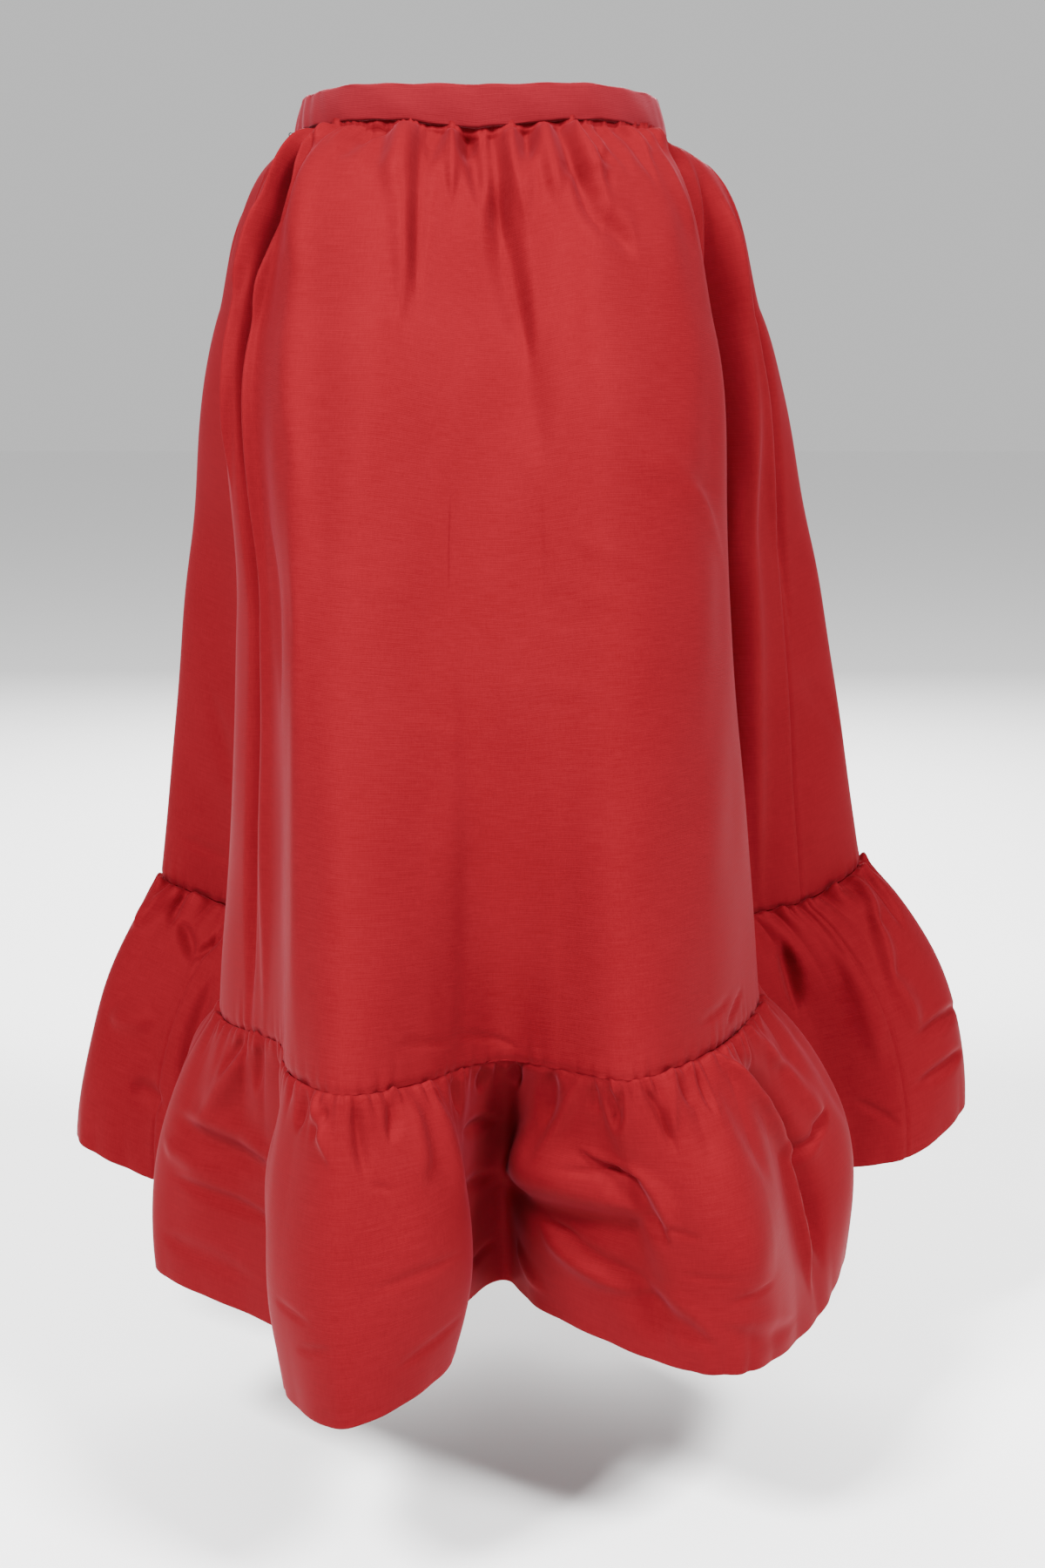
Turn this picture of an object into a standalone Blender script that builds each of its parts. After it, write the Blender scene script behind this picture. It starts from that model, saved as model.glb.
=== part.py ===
# Maxi skirt: gathered skirt of two panels, gathered hem ruffle of two panels, waistband and wire hook.
# Metres, Z up, the wearer faces -Y. The origin is the centre of the waistband at half its height.
import math
from collections import namedtuple

import bpy
import numpy as np

MM = 0.001

# Waistband
BAND_HALF_WIDTH = 137.5 * MM
BAND_HALF_DEPTH = 106.0 * MM
BAND_HEIGHT = 31.0 * MM
BAND_WALL = 3.0 * MM
BAND_BULGE = 0.6 * MM
BAND_EDGE_WAVE = 0.5 * MM
BAND_COLUMNS = 96
BAND_OPENING_BEARING = 270.0

# Cloth
CLOTH_WALL = 2.0 * MM
SEAM_GAP = 0.3 * MM
SKIRT_LENGTH = 668.0 * MM
HIP_LENGTH = 150.0 * MM
THIGH_LENGTH = 360.0 * MM
RUFFLE_LENGTH = 232.0 * MM

# Gathers: cells are the mesh steps round the cloth
FRONT_CELLS = 104
BACK_CELLS = 88
CELLS_IN_WAIST_GATHER = 4
CELLS_IN_SOFT_GATHER = 8
HALF_CELLS_IN_GATHER = 4
HALF_CELLS_IN_SOFT_GATHER = 16

# Bearing is in degrees from the front, growing to the photo's right. The other columns are millimetres.
# Puff is the push outwards just under the waistband, and swell the push outwards halfway down the ruffle.
# The rest are distances right of centre, behind centre and, for the seam and hem, below the origin.
Fold = namedtuple(
    "Fold", "name bearing puff hip_x hip_y thigh_x thigh_y seam_x seam_y seam_drop hem_x hem_y hem_drop swell"
)
FOLDS = [
    Fold("front dip", 6, 0, 15, -160, 20, -200, 19, -192, 664, 14, -118, 860, -3),
    Fold("right lobe inner", 17, 1, 44, -165, 54, -206, 55, -214, 663, 44, -152, 868, 12),
    Fold("right lobe", 28, 2, 75, -168, 92, -210, 98, -243, 662, 118, -206, 881, 12),
    Fold("right lobe side", 46, 4, 133, -134, 150, -168, 166, -190, 657, 200, -220, 884, 14),
    Fold("right lobe crease", 55, 4, 154, -110, 171, -130, 195, -135, 654, 250, -138, 884, -7),
    Fold("front right edge", 63, 4, 168, -80, 183, -88, 212, -72, 650, 285, -62, 866, 12),
    Fold("right recess", 78, 4, 140, -18, 150, 12, 160, 36, 640, 236, 42, 862, -4),
    Fold("right sheet", 91, 11, 186, 4, 204, 60, 224, 110, 630, 300, 86, 848, 4),
    Fold("right side seam", 102, 13, 210, 38, 240, 92, 268, 127, 624, 358, 90, 838, 4),
    Fold("right tip", 113, 12, 210, 78, 269, 131, 326, 182, 600, 419, 156, 803, 0),
    Fold("right tip back", 124, 10, 184, 118, 230, 180, 272, 236, 606, 356, 268, 806, 4),
    Fold("right back dip", 135, 6, 148, 124, 182, 168, 208, 204, 640, 266, 232, 846, 0),
    Fold("right back lobe", 149, 6, 118, 166, 148, 226, 164, 272, 642, 202, 320, 850, 10),
    Fold("back right dip", 164, 3, 58, 158, 66, 194, 72, 224, 656, 92, 260, 872, 0),
    Fold("back lobe", 180, 4, 2, 182, 4, 240, 5, 286, 650, 8, 328, 862, 10),
    Fold("back left dip", 196, 3, -56, 156, -66, 190, -76, 220, 656, -80, 250, 870, 0),
    Fold("left back lobe", 212, 6, -112, 168, -136, 224, -152, 268, 642, -176, 308, 854, 10),
    Fold("left back dip", 226, 5, -142, 126, -168, 166, -190, 202, 638, -228, 232, 850, 0),
    Fold("left tip back", 238, 8, -178, 122, -212, 180, -246, 230, 612, -306, 246, 828, 4),
    Fold("left tip", 251, 9, -206, 76, -243, 128, -283, 170, 610, -354, 120, 826, -5),
    Fold("left sheet", 266, 9, -184, 24, -196, 78, -212, 124, 630, -280, 68, 850, 4),
    Fold("left recess", 280, 4, -142, -12, -146, 14, -158, 34, 642, -210, 32, 868, -2),
    Fold("front left edge", 297, 5, -178, -72, -178, -84, -200, -72, 662, -260, -46, 879, 6),
    Fold("left step", 309, 4, -150, -112, -142, -158, -142, -180, 657, -134, -162, 893, -3),
    Fold("left lobe side", 320, 5, -124, -146, -122, -204, -126, -254, 656, -134, -256, 888, 13),
    Fold("left lobe", 336, 2, -70, -170, -84, -222, -90, -296, 655, -90, -304, 888, 10),
    Fold("left lobe inner", 350, 0, -24, -164, -30, -209, -36, -256, 659, -19, -252, 866, 18),
    Fold("left lobe neck", 358, 0, -5, -161, -6, -203, -7, -214, 662, -16, -168, 862, 0),
]
RIGHT_SEAM_FOLD = "right side seam"
LEFT_SEAM_FOLD = "left sheet"

# Rows of the mesh down the cloth. Cells is how many mesh steps are joined into one on that row.
# Gather and soft are the heights of the two sizes of wave.
Row = namedtuple("Row", "along cells gather soft")
SKIRT_ROWS = [
    Row(0.0 * MM, 1, 1.3 * MM, 0.0 * MM),
    Row(9.0 * MM, 1, 2.0 * MM, 0.4 * MM),
    Row(30.0 * MM, 1, 2.9 * MM, 1.4 * MM),
    Row(66.0 * MM, 1, 1.8 * MM, 2.2 * MM),
    Row(112.0 * MM, 1, 0.7 * MM, 2.2 * MM),
    Row(165.0 * MM, 2, 0.0 * MM, 1.8 * MM),
    Row(245.0 * MM, 2, 0.0 * MM, 1.2 * MM),
    Row(335.0 * MM, 2, 0.0 * MM, 0.6 * MM),
    Row(435.0 * MM, 2, 0.0 * MM, 0.0 * MM),
    Row(535.0 * MM, 2, 0.0 * MM, 0.0 * MM),
    Row(620.0 * MM, 2, 0.0 * MM, 0.0 * MM),
    Row(SKIRT_LENGTH, 1, 0.0 * MM, 0.0 * MM),
]
# The ruffle's rows are counted in half cells, four of them to a gather.
RUFFLE_ROWS = [
    Row(0.0 * MM, 1, 2.0 * MM, 0.0 * MM),
    Row(11.0 * MM, 1, 3.2 * MM, 0.8 * MM),
    Row(32.0 * MM, 1, 2.8 * MM, 2.0 * MM),
    Row(66.0 * MM, 2, 0.0 * MM, 3.0 * MM),
    Row(112.0 * MM, 2, 0.0 * MM, 2.6 * MM),
    Row(160.0 * MM, 2, 0.0 * MM, 1.8 * MM),
    Row(204.0 * MM, 2, 0.0 * MM, 1.0 * MM),
    Row(RUFFLE_LENGTH, 2, 0.0 * MM, 0.8 * MM),
]

# Hook: a wire loop beside the left end of the waistband
WIRE_RADIUS = 0.4 * MM
WIRE_SIDES = 8
HOOK_LOOP_RADIUS = 1.35 * MM
HOOK_LOOP_STEPS = 16
HOOK_LOOP_X = -141.4 * MM
HOOK_LOOP_Z = -7.6 * MM
HOOK_SHANK_X = -142.2 * MM
HOOK_FOOT_X = -138.2 * MM
HOOK_FOOT_Z = -12.6 * MM


def cloth_shares():
    # Where each fold stands round the lower edge, as a share of the way round.
    points = np.array([[fold.seam_x, fold.seam_y] for fold in FOLDS], float)
    steps = np.linalg.norm(np.roll(points, -1, axis=0) - points, axis=1)
    return np.concatenate([[0.0], np.cumsum(steps)[:-1]]) / steps.sum()


SHARES = cloth_shares()


def closed_curve(values, at):
    # A smooth closed curve through one value for each fold.
    values = np.asarray(values, float)
    ahead = np.diff(np.append(SHARES, 1.0))
    behind = np.roll(ahead, 1)
    rise_ahead = (np.roll(values, -1, axis=0) - values) / ahead[:, None]
    rise_behind = (values - np.roll(values, 1, axis=0)) / behind[:, None]
    slope = (rise_behind * ahead[:, None] + rise_ahead * behind[:, None]) / (ahead + behind)[:, None]
    at = np.mod(at, 1.0)
    start = np.searchsorted(SHARES, at, side="right") - 1
    end = (start + 1) % len(values)
    width = ahead[start][:, None]
    t = (at[:, None] - SHARES[start][:, None]) / width
    return (
        (2 * t**3 - 3 * t**2 + 1) * values[start]
        + (t**3 - 2 * t**2 + t) * width * slope[start]
        + (3 * t**2 - 2 * t**3) * values[end]
        + (t**3 - t**2) * width * slope[end]
    )


def band_point(bearing, inset, height):
    # A point of the waistband's oval, set in from its outside face.
    angle = np.radians(bearing)
    across = (BAND_HALF_WIDTH - inset) * np.sin(angle)
    back = -(BAND_HALF_DEPTH - inset) * np.cos(angle)
    return np.stack([across, back, np.broadcast_to(height, np.shape(across))], axis=-1)


def waist_curve(at):
    # The gathered top edge, under the middle of the waistband's wall.
    bearings = np.array([fold.bearing for fold in FOLDS] + [FOLDS[0].bearing + 360.0])
    bearing = np.interp(np.mod(at, 1.0), np.append(SHARES, 1.0), bearings)
    return band_point(bearing, BAND_WALL / 2, 0.0)[:, :2]


def blend(start, end, start_slope, end_slope, t):
    # A smooth curve from start to end with the slope wanted at each.
    t = t[:, None, None]
    return (
        (2 * t**3 - 3 * t**2 + 1) * start
        + (t**3 - 2 * t**2 + t) * start_slope
        + (3 * t**2 - 2 * t**3) * end
        + (t**3 - t**2) * end_slope
    )


FLARE_AT_WAIST = 2.0
PUFF_RISE = 0.55
STEEPEST = 0.42


def drops_from(plan, along, first, last):
    # Heights down the cloth from its length, ending at the heights wanted.
    step = np.diff(along)[:, None]
    run = np.linalg.norm(np.diff(plan, axis=0), axis=2)
    fall = np.sqrt(np.maximum(step**2 - run**2, (STEEPEST * step) ** 2))
    share = np.concatenate([np.zeros((1, plan.shape[1])), np.cumsum(fall, axis=0)]) / fall.sum(axis=0)
    return first + (last - first) * share


def skirt_form(at, along):
    # Points of the skirt's cloth, rows down it and columns round it, without its gathers.
    fine = np.linspace(0.0, SKIRT_LENGTH, 201)
    waist = waist_curve(at)
    hip = closed_curve([[f.hip_x, f.hip_y] for f in FOLDS], at) * MM
    thigh = closed_curve([[f.thigh_x, f.thigh_y] for f in FOLDS], at) * MM
    seam = closed_curve([[f.seam_x, f.seam_y, f.seam_drop] for f in FOLDS], at) * MM
    upper = HIP_LENGTH
    middle = THIGH_LENGTH - HIP_LENGTH
    lower = SKIRT_LENGTH - THIGH_LENGTH
    waist_slope = (hip - waist) / upper * FLARE_AT_WAIST
    hip_slope = ((hip - waist) / upper * middle + (thigh - hip) / middle * upper) / (upper + middle)
    thigh_slope = ((thigh - hip) / middle * lower + (seam[:, :2] - thigh) / lower * middle) / (middle + lower)
    seam_slope = (seam[:, :2] - thigh) / lower
    plan = np.empty((len(fine), len(at), 2))
    top = fine <= HIP_LENGTH
    low = fine >= THIGH_LENGTH
    mid = ~(top | low)
    plan[top] = blend(waist, hip, waist_slope * upper, hip_slope * upper, fine[top] / upper)
    puff = closed_curve([[f.puff] for f in FOLDS], at) * MM
    swell = np.sin(math.pi * (fine[top] / upper) ** PUFF_RISE)
    plan[top] += swell[:, None, None] * (puff * unit(waist))[None]
    plan[mid] = blend(hip, thigh, hip_slope * middle, thigh_slope * middle, (fine[mid] - HIP_LENGTH) / middle)
    plan[low] = blend(
        thigh, seam[:, :2], thigh_slope * lower, seam_slope * lower, (fine[low] - THIGH_LENGTH) / lower
    )
    height = drops_from(plan, fine, -BAND_HEIGHT / 2 - SEAM_GAP, -seam[:, 2])
    return pick_rows(np.concatenate([plan, height[..., None]], axis=2), fine, along)


RUFFLE_SPRING = 0.88


def ruffle_form(at, along):
    # Points of the ruffle's cloth, springing out from the seam and turning down to the hem.
    fine = np.linspace(0.0, RUFFLE_LENGTH, 121)
    seam = closed_curve([[f.seam_x, f.seam_y, f.seam_drop] for f in FOLDS], at) * MM
    hem = closed_curve([[f.hem_x, f.hem_y, f.hem_drop] for f in FOLDS], at) * MM
    out = np.sin(math.pi / 2 * (fine / RUFFLE_LENGTH) ** RUFFLE_SPRING)[:, None, None]
    plan = seam[:, :2] + (hem[:, :2] - seam[:, :2]) * out
    swell = closed_curve([[f.swell] for f in FOLDS], at)[:, 0] * MM
    bulge = np.sin(math.pi * fine / RUFFLE_LENGTH)
    plan += level_normals(plan) * (bulge[:, None] * swell)[..., None]
    height = drops_from(plan, fine, -seam[:, 2] - SEAM_GAP, -hem[:, 2])
    return pick_rows(np.concatenate([plan, height[..., None]], axis=2), fine, along)


def pick_rows(surface, fine, along):
    # The surface's points at the lengths asked for.
    place = np.interp(along, fine, np.arange(len(fine)))
    low = np.minimum(place.astype(int), len(fine) - 2)
    part = (place - low)[:, None, None]
    return surface[low] * (1 - part) + surface[low + 1] * part


def unit(vectors):
    return vectors / np.linalg.norm(vectors, axis=-1, keepdims=True)


def level_normals(surface):
    # Outward directions with no rise or fall.
    round_it = np.roll(surface, -1, axis=1) - np.roll(surface, 1, axis=1)
    return unit(np.stack([round_it[..., 1], -round_it[..., 0]], axis=2))


def wall_normals(surface):
    # Outward directions square to the cloth, level on the first and last rows so that the edges are flat.
    round_it = np.roll(surface, -1, axis=1) - np.roll(surface, 1, axis=1)
    down_it = np.gradient(surface, axis=0)
    normals = unit(np.cross(down_it, round_it))
    for row in (0, -1):
        normals[row] = level_directions(surface)[row]
    return normals


def level_directions(surface):
    flat = level_normals(surface)
    return np.concatenate([flat, np.zeros((*flat.shape[:2], 1))], axis=2)


def with_waves(surface, rows, gather, soft):
    # The surface with its two sizes of wave, pushed half level and half square to the cloth.
    outward = unit(level_directions(surface) + wall_normals(surface))
    for index, row in enumerate(rows):
        surface[index] += outward[index] * (gather * row.gather + soft * row.soft)[:, None]
    return surface


def unevenness(number, amount):
    # A steady, uneven factor about one for each gather.
    return 1.0 + amount * np.sin(number * 2.4 + 1.3 * np.sin(number * 1.7))


def seam_columns():
    # Shares at the mesh's columns, with the two side seams on columns.
    names = [fold.name for fold in FOLDS]
    left = SHARES[names.index(LEFT_SEAM_FOLD)] - 1.0
    right = SHARES[names.index(RIGHT_SEAM_FOLD)]
    front = left + (right - left) * np.arange(FRONT_CELLS) / FRONT_CELLS
    back = right + (left + 1.0 - right) * np.arange(BACK_CELLS) / BACK_CELLS
    return np.concatenate([front, back])


def wave(count, in_gather):
    # Waves round the cloth, nought at both side seams.
    number = np.arange(count)
    return np.sin(2 * math.pi * number / in_gather) * unevenness(number // in_gather, 0.35)


def skirt_surface():
    # The skirt's middle surface on its mesh rows, with its gathers.
    at = seam_columns()
    surface = skirt_form(at, np.array([row.along for row in SKIRT_ROWS]))
    return with_waves(
        surface, SKIRT_ROWS, wave(len(at), CELLS_IN_WAIST_GATHER), wave(len(at), CELLS_IN_SOFT_GATHER)
    )


def ruffle_surface():
    # The ruffle's middle surface with two half cells to each of the skirt's.
    at = seam_columns()
    coarse = ruffle_form(at, np.array([row.along for row in RUFFLE_ROWS]))
    count = 2 * len(at)
    surface = np.empty((len(RUFFLE_ROWS), count, 3))
    surface[:, 0::2] = coarse
    surface[:, 1::2] = (coarse + np.roll(coarse, -1, axis=1)) / 2
    return with_waves(
        surface, RUFFLE_ROWS, wave(count, HALF_CELLS_IN_GATHER), wave(count, HALF_CELLS_IN_SOFT_GATHER)
    )


def panel_skins(surface, wall, first, cells):
    # The outside and inside points of one panel, its two side edges drawn in from the seams.
    normals = wall_normals(surface)
    along_seam = unit(np.roll(surface, -1, axis=1) - np.roll(surface, 1, axis=1))
    columns = np.arange(first, first + cells + 1) % surface.shape[1]
    middle = surface[:, columns].copy()
    middle[:, 0] += along_seam[:, columns[0]] * SEAM_GAP / 2
    middle[:, -1] -= along_seam[:, columns[-1]] * SEAM_GAP / 2
    outside = middle + normals[:, columns] * wall / 2
    inside = middle - normals[:, columns] * wall / 2
    return outside, inside


def wall_body(name, outside, inside, steps, material):
    # One closed wall between two skins. Steps says how many cells each row joins into one.
    points = []
    faces = []
    index = {}

    def point(skin, row, column):
        key = (skin, row, column)
        if key not in index:
            index[key] = len(points)
            points.append((outside, inside)[skin][row, column])
        return index[key]

    last = outside.shape[1] - 1
    for skin in (0, 1):
        for row in range(len(steps) - 1):
            above = steps[row]
            below = steps[row + 1]
            wide = max(above, below)
            for column in range(0, last, wide):
                corners = [point(skin, row, column + n) for n in range(0, wide + 1, above)]
                others = [point(skin, row + 1, column + n) for n in range(0, wide + 1, below)]
                for face in band_faces(corners, others):
                    faces.append(face if skin == 0 else face[::-1])
    for row, turned in ((0, True), (len(steps) - 1, False)):
        for column in range(0, last, steps[row]):
            after = column + steps[row]
            face = [point(0, row, column), point(1, row, column), point(1, row, after), point(0, row, after)]
            faces.append(face[::-1] if turned else face)
    for column, turned in ((0, False), (last, True)):
        for row in range(len(steps) - 1):
            above_in = point(1, row, column)
            below_out = point(0, row + 1, column)
            for face in (
                [point(0, row, column), above_in, below_out],
                [above_in, point(1, row + 1, column), below_out],
            ):
                faces.append(face[::-1] if turned else face)
    return make_body(name, points, faces, material)


def band_faces(upper, lower):
    # Faces between two rows, one of which may have twice the points of the other.
    if len(upper) == len(lower):
        return [[upper[n], lower[n], lower[n + 1], upper[n + 1]] for n in range(len(upper) - 1)]
    if len(upper) > len(lower):
        return [
            [upper[0], lower[0], upper[1]],
            [upper[1], lower[0], lower[1]],
            [upper[1], lower[1], upper[2]],
        ]
    return [
        [upper[0], lower[0], lower[1]],
        [upper[0], lower[1], upper[1]],
        [upper[1], lower[1], lower[2]],
    ]


def make_body(name, points, faces, material):
    mesh = bpy.data.meshes.new(name)
    mesh.from_pydata([tuple(float(value) for value in place) for place in points], [], faces)
    mesh.update()
    mesh.materials.append(material)
    for polygon in mesh.polygons:
        polygon.use_smooth = True
    body = bpy.data.objects.new(name, mesh)
    bpy.context.scene.collection.objects.link(body)
    return body


def make_material(name, colour, roughness, metallic):
    material = bpy.data.materials.new(name)
    material.use_nodes = True
    shader = material.node_tree.nodes["Principled BSDF"]
    shader.inputs["Base Color"].default_value = (*colour, 1.0)
    shader.inputs["Roughness"].default_value = roughness
    shader.inputs["Metallic"].default_value = metallic
    return material


def waistband(material):
    # A strip round the waist, a little proud at half its height, its ends apart at the left side.
    gap = math.degrees(SEAM_GAP / BAND_HALF_DEPTH)
    bearing = np.linspace(BAND_OPENING_BEARING + gap / 2, BAND_OPENING_BEARING + 360.0 - gap / 2, BAND_COLUMNS + 1)
    edge = BAND_EDGE_WAVE * np.sin(np.radians(bearing * 7.0)) * np.sin(np.radians(bearing * 1.5))
    half = BAND_HEIGHT / 2
    outside = np.stack(
        [
            band_point(bearing, 0.0, half + edge),
            band_point(bearing, -BAND_BULGE, 0.0),
            band_point(bearing, 0.0, -half),
        ]
    )
    inside = np.stack(
        [
            band_point(bearing, BAND_WALL, half + edge),
            band_point(bearing, BAND_WALL, 0.0),
            band_point(bearing, BAND_WALL, -half),
        ]
    )
    return wall_body("waistband", outside, inside, [1, 1, 1], material)


def wire_path():
    # The middle of the hook's wire: foot by the band, shank, then the loop.
    places = [
        (HOOK_FOOT_X, 0.0, HOOK_FOOT_Z),
        (HOOK_SHANK_X + 1.2 * MM, 0.0, HOOK_FOOT_Z),
        (HOOK_SHANK_X + 0.3 * MM, 0.0, HOOK_FOOT_Z + 0.5 * MM),
        (HOOK_SHANK_X, 0.0, HOOK_FOOT_Z + 1.6 * MM),
    ]
    for number in range(HOOK_LOOP_STEPS + 1):
        turn = math.radians(235.0 - 290.0 * number / HOOK_LOOP_STEPS)
        across = HOOK_LOOP_X + HOOK_LOOP_RADIUS * math.cos(turn)
        up = HOOK_LOOP_Z + HOOK_LOOP_RADIUS * math.sin(turn)
        places.append((across, 0.0, up))
    return np.array(places)


def hook(material):
    # A round wire along its path, closed at both ends.
    path = wire_path()
    heading = unit(np.gradient(path, axis=0))
    side = np.array([0.0, 1.0, 0.0])
    points = []
    for place, ahead in zip(path, heading):
        other = np.cross(ahead, side)
        for number in range(WIRE_SIDES):
            turn = 2 * math.pi * number / WIRE_SIDES
            points.append(place + WIRE_RADIUS * (math.cos(turn) * side + math.sin(turn) * other))
    faces = []
    for ring in range(len(path) - 1):
        for number in range(WIRE_SIDES):
            after = (number + 1) % WIRE_SIDES
            start = ring * WIRE_SIDES
            ahead = start + WIRE_SIDES
            faces.append([start + number, start + after, ahead + after, ahead + number])
    faces.append(list(reversed(range(WIRE_SIDES))))
    faces.append([(len(path) - 1) * WIRE_SIDES + number for number in range(WIRE_SIDES)])
    return make_body("hook", points, faces, material)


def main():
    for thing in list(bpy.data.objects):
        bpy.data.objects.remove(thing, do_unlink=True)
    band_cloth = make_material("band_cloth", (0.42, 0.035, 0.042), 0.45, 0.0)
    front_cloth = make_material("front_cloth", (0.42, 0.035, 0.042), 0.45, 0.0)
    back_cloth = make_material("back_cloth", (0.36, 0.028, 0.034), 0.45, 0.0)
    ruffle_front_cloth = make_material("ruffle_front_cloth", (0.42, 0.035, 0.042), 0.45, 0.0)
    ruffle_back_cloth = make_material("ruffle_back_cloth", (0.36, 0.028, 0.034), 0.45, 0.0)
    hook_metal = make_material("hook_metal", (0.05, 0.05, 0.055), 0.35, 1.0)
    skirt = skirt_surface()
    ruffle = ruffle_surface()
    skirt_steps = [row.cells for row in SKIRT_ROWS]
    ruffle_steps = [row.cells for row in RUFFLE_ROWS]
    waistband(band_cloth)
    wall_body("skirt_front", *panel_skins(skirt, CLOTH_WALL, 0, FRONT_CELLS), skirt_steps, front_cloth)
    wall_body("skirt_back", *panel_skins(skirt, CLOTH_WALL, FRONT_CELLS, BACK_CELLS), skirt_steps, back_cloth)
    wall_body(
        "ruffle_front", *panel_skins(ruffle, CLOTH_WALL, 0, 2 * FRONT_CELLS), ruffle_steps, ruffle_front_cloth
    )
    wall_body(
        "ruffle_back",
        *panel_skins(ruffle, CLOTH_WALL, 2 * FRONT_CELLS, 2 * BACK_CELLS),
        ruffle_steps,
        ruffle_back_cloth,
    )
    hook(hook_metal)


main()
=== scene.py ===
import math
from collections import namedtuple

import bpy
import numpy as np
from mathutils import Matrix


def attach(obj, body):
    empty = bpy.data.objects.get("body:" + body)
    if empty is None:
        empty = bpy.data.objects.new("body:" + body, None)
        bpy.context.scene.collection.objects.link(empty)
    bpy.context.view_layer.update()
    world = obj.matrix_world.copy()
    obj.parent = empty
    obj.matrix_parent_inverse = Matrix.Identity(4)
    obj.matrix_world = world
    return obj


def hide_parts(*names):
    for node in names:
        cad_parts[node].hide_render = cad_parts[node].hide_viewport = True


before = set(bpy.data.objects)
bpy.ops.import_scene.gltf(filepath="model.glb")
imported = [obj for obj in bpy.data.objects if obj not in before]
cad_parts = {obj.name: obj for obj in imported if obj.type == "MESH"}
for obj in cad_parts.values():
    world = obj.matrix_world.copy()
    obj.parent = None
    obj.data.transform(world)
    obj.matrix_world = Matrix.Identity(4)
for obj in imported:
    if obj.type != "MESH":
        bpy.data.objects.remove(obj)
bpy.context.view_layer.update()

MM = 0.001

# Sizes shared with the solids
BAND_HALF_WIDTH = 137.5 * MM
BAND_HALF_DEPTH = 106.0 * MM
BAND_HEIGHT = 31.0 * MM
BAND_WALL = 3.0 * MM
BAND_BULGE = 0.6 * MM
BAND_OPENING_BEARING = 270.0
SEAM_GAP = 0.3 * MM
SKIRT_LENGTH = 668.0 * MM
HIP_LENGTH = 150.0 * MM
THIGH_LENGTH = 360.0 * MM
RUFFLE_LENGTH = 232.0 * MM
FLARE_AT_WAIST = 2.0
PUFF_RISE = 0.55
STEEPEST = 0.42
RUFFLE_SPRING = 0.88

# Bearing is in degrees from the front, growing to the photo's right. The other columns are millimetres.
# Puff is the push outwards just under the waistband, and swell the push outwards halfway down the ruffle.
# The rest are distances right of centre, behind centre and, for the seam and hem, below the origin.
Fold = namedtuple(
    "Fold", "name bearing puff hip_x hip_y thigh_x thigh_y seam_x seam_y seam_drop hem_x hem_y hem_drop swell"
)
FOLDS = [
    Fold("front dip", 6, 0, 15, -160, 20, -200, 19, -192, 664, 14, -118, 860, -3),
    Fold("right lobe inner", 17, 1, 44, -165, 54, -206, 55, -214, 663, 44, -152, 868, 12),
    Fold("right lobe", 28, 2, 75, -168, 92, -210, 98, -243, 662, 118, -206, 881, 12),
    Fold("right lobe side", 46, 4, 133, -134, 150, -168, 166, -190, 657, 200, -220, 884, 14),
    Fold("right lobe crease", 55, 4, 154, -110, 171, -130, 195, -135, 654, 250, -138, 884, -7),
    Fold("front right edge", 63, 4, 168, -80, 183, -88, 212, -72, 650, 285, -62, 866, 12),
    Fold("right recess", 78, 4, 140, -18, 150, 12, 160, 36, 640, 236, 42, 862, -4),
    Fold("right sheet", 91, 11, 186, 4, 204, 60, 224, 110, 630, 300, 86, 848, 4),
    Fold("right side seam", 102, 13, 210, 38, 240, 92, 268, 127, 624, 358, 90, 838, 4),
    Fold("right tip", 113, 12, 210, 78, 269, 131, 326, 182, 600, 419, 156, 803, 0),
    Fold("right tip back", 124, 10, 184, 118, 230, 180, 272, 236, 606, 356, 268, 806, 4),
    Fold("right back dip", 135, 6, 148, 124, 182, 168, 208, 204, 640, 266, 232, 846, 0),
    Fold("right back lobe", 149, 6, 118, 166, 148, 226, 164, 272, 642, 202, 320, 850, 10),
    Fold("back right dip", 164, 3, 58, 158, 66, 194, 72, 224, 656, 92, 260, 872, 0),
    Fold("back lobe", 180, 4, 2, 182, 4, 240, 5, 286, 650, 8, 328, 862, 10),
    Fold("back left dip", 196, 3, -56, 156, -66, 190, -76, 220, 656, -80, 250, 870, 0),
    Fold("left back lobe", 212, 6, -112, 168, -136, 224, -152, 268, 642, -176, 308, 854, 10),
    Fold("left back dip", 226, 5, -142, 126, -168, 166, -190, 202, 638, -228, 232, 850, 0),
    Fold("left tip back", 238, 8, -178, 122, -212, 180, -246, 230, 612, -306, 246, 828, 4),
    Fold("left tip", 251, 9, -206, 76, -243, 128, -283, 170, 610, -354, 120, 826, -5),
    Fold("left sheet", 266, 9, -184, 24, -196, 78, -212, 124, 630, -280, 68, 850, 4),
    Fold("left recess", 280, 4, -142, -12, -146, 14, -158, 34, 642, -210, 32, 868, -2),
    Fold("front left edge", 297, 5, -178, -72, -178, -84, -200, -72, 662, -260, -46, 879, 6),
    Fold("left step", 309, 4, -150, -112, -142, -158, -142, -180, 657, -134, -162, 893, -3),
    Fold("left lobe side", 320, 5, -124, -146, -122, -204, -126, -254, 656, -134, -256, 888, 13),
    Fold("left lobe", 336, 2, -70, -170, -84, -222, -90, -296, 655, -90, -304, 888, 10),
    Fold("left lobe inner", 350, 0, -24, -164, -30, -209, -36, -256, 659, -19, -252, 866, 18),
    Fold("left lobe neck", 358, 0, -5, -161, -6, -203, -7, -214, 662, -16, -168, 862, 0),
]
RIGHT_SEAM_FOLD = "right side seam"
LEFT_SEAM_FOLD = "left sheet"

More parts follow.
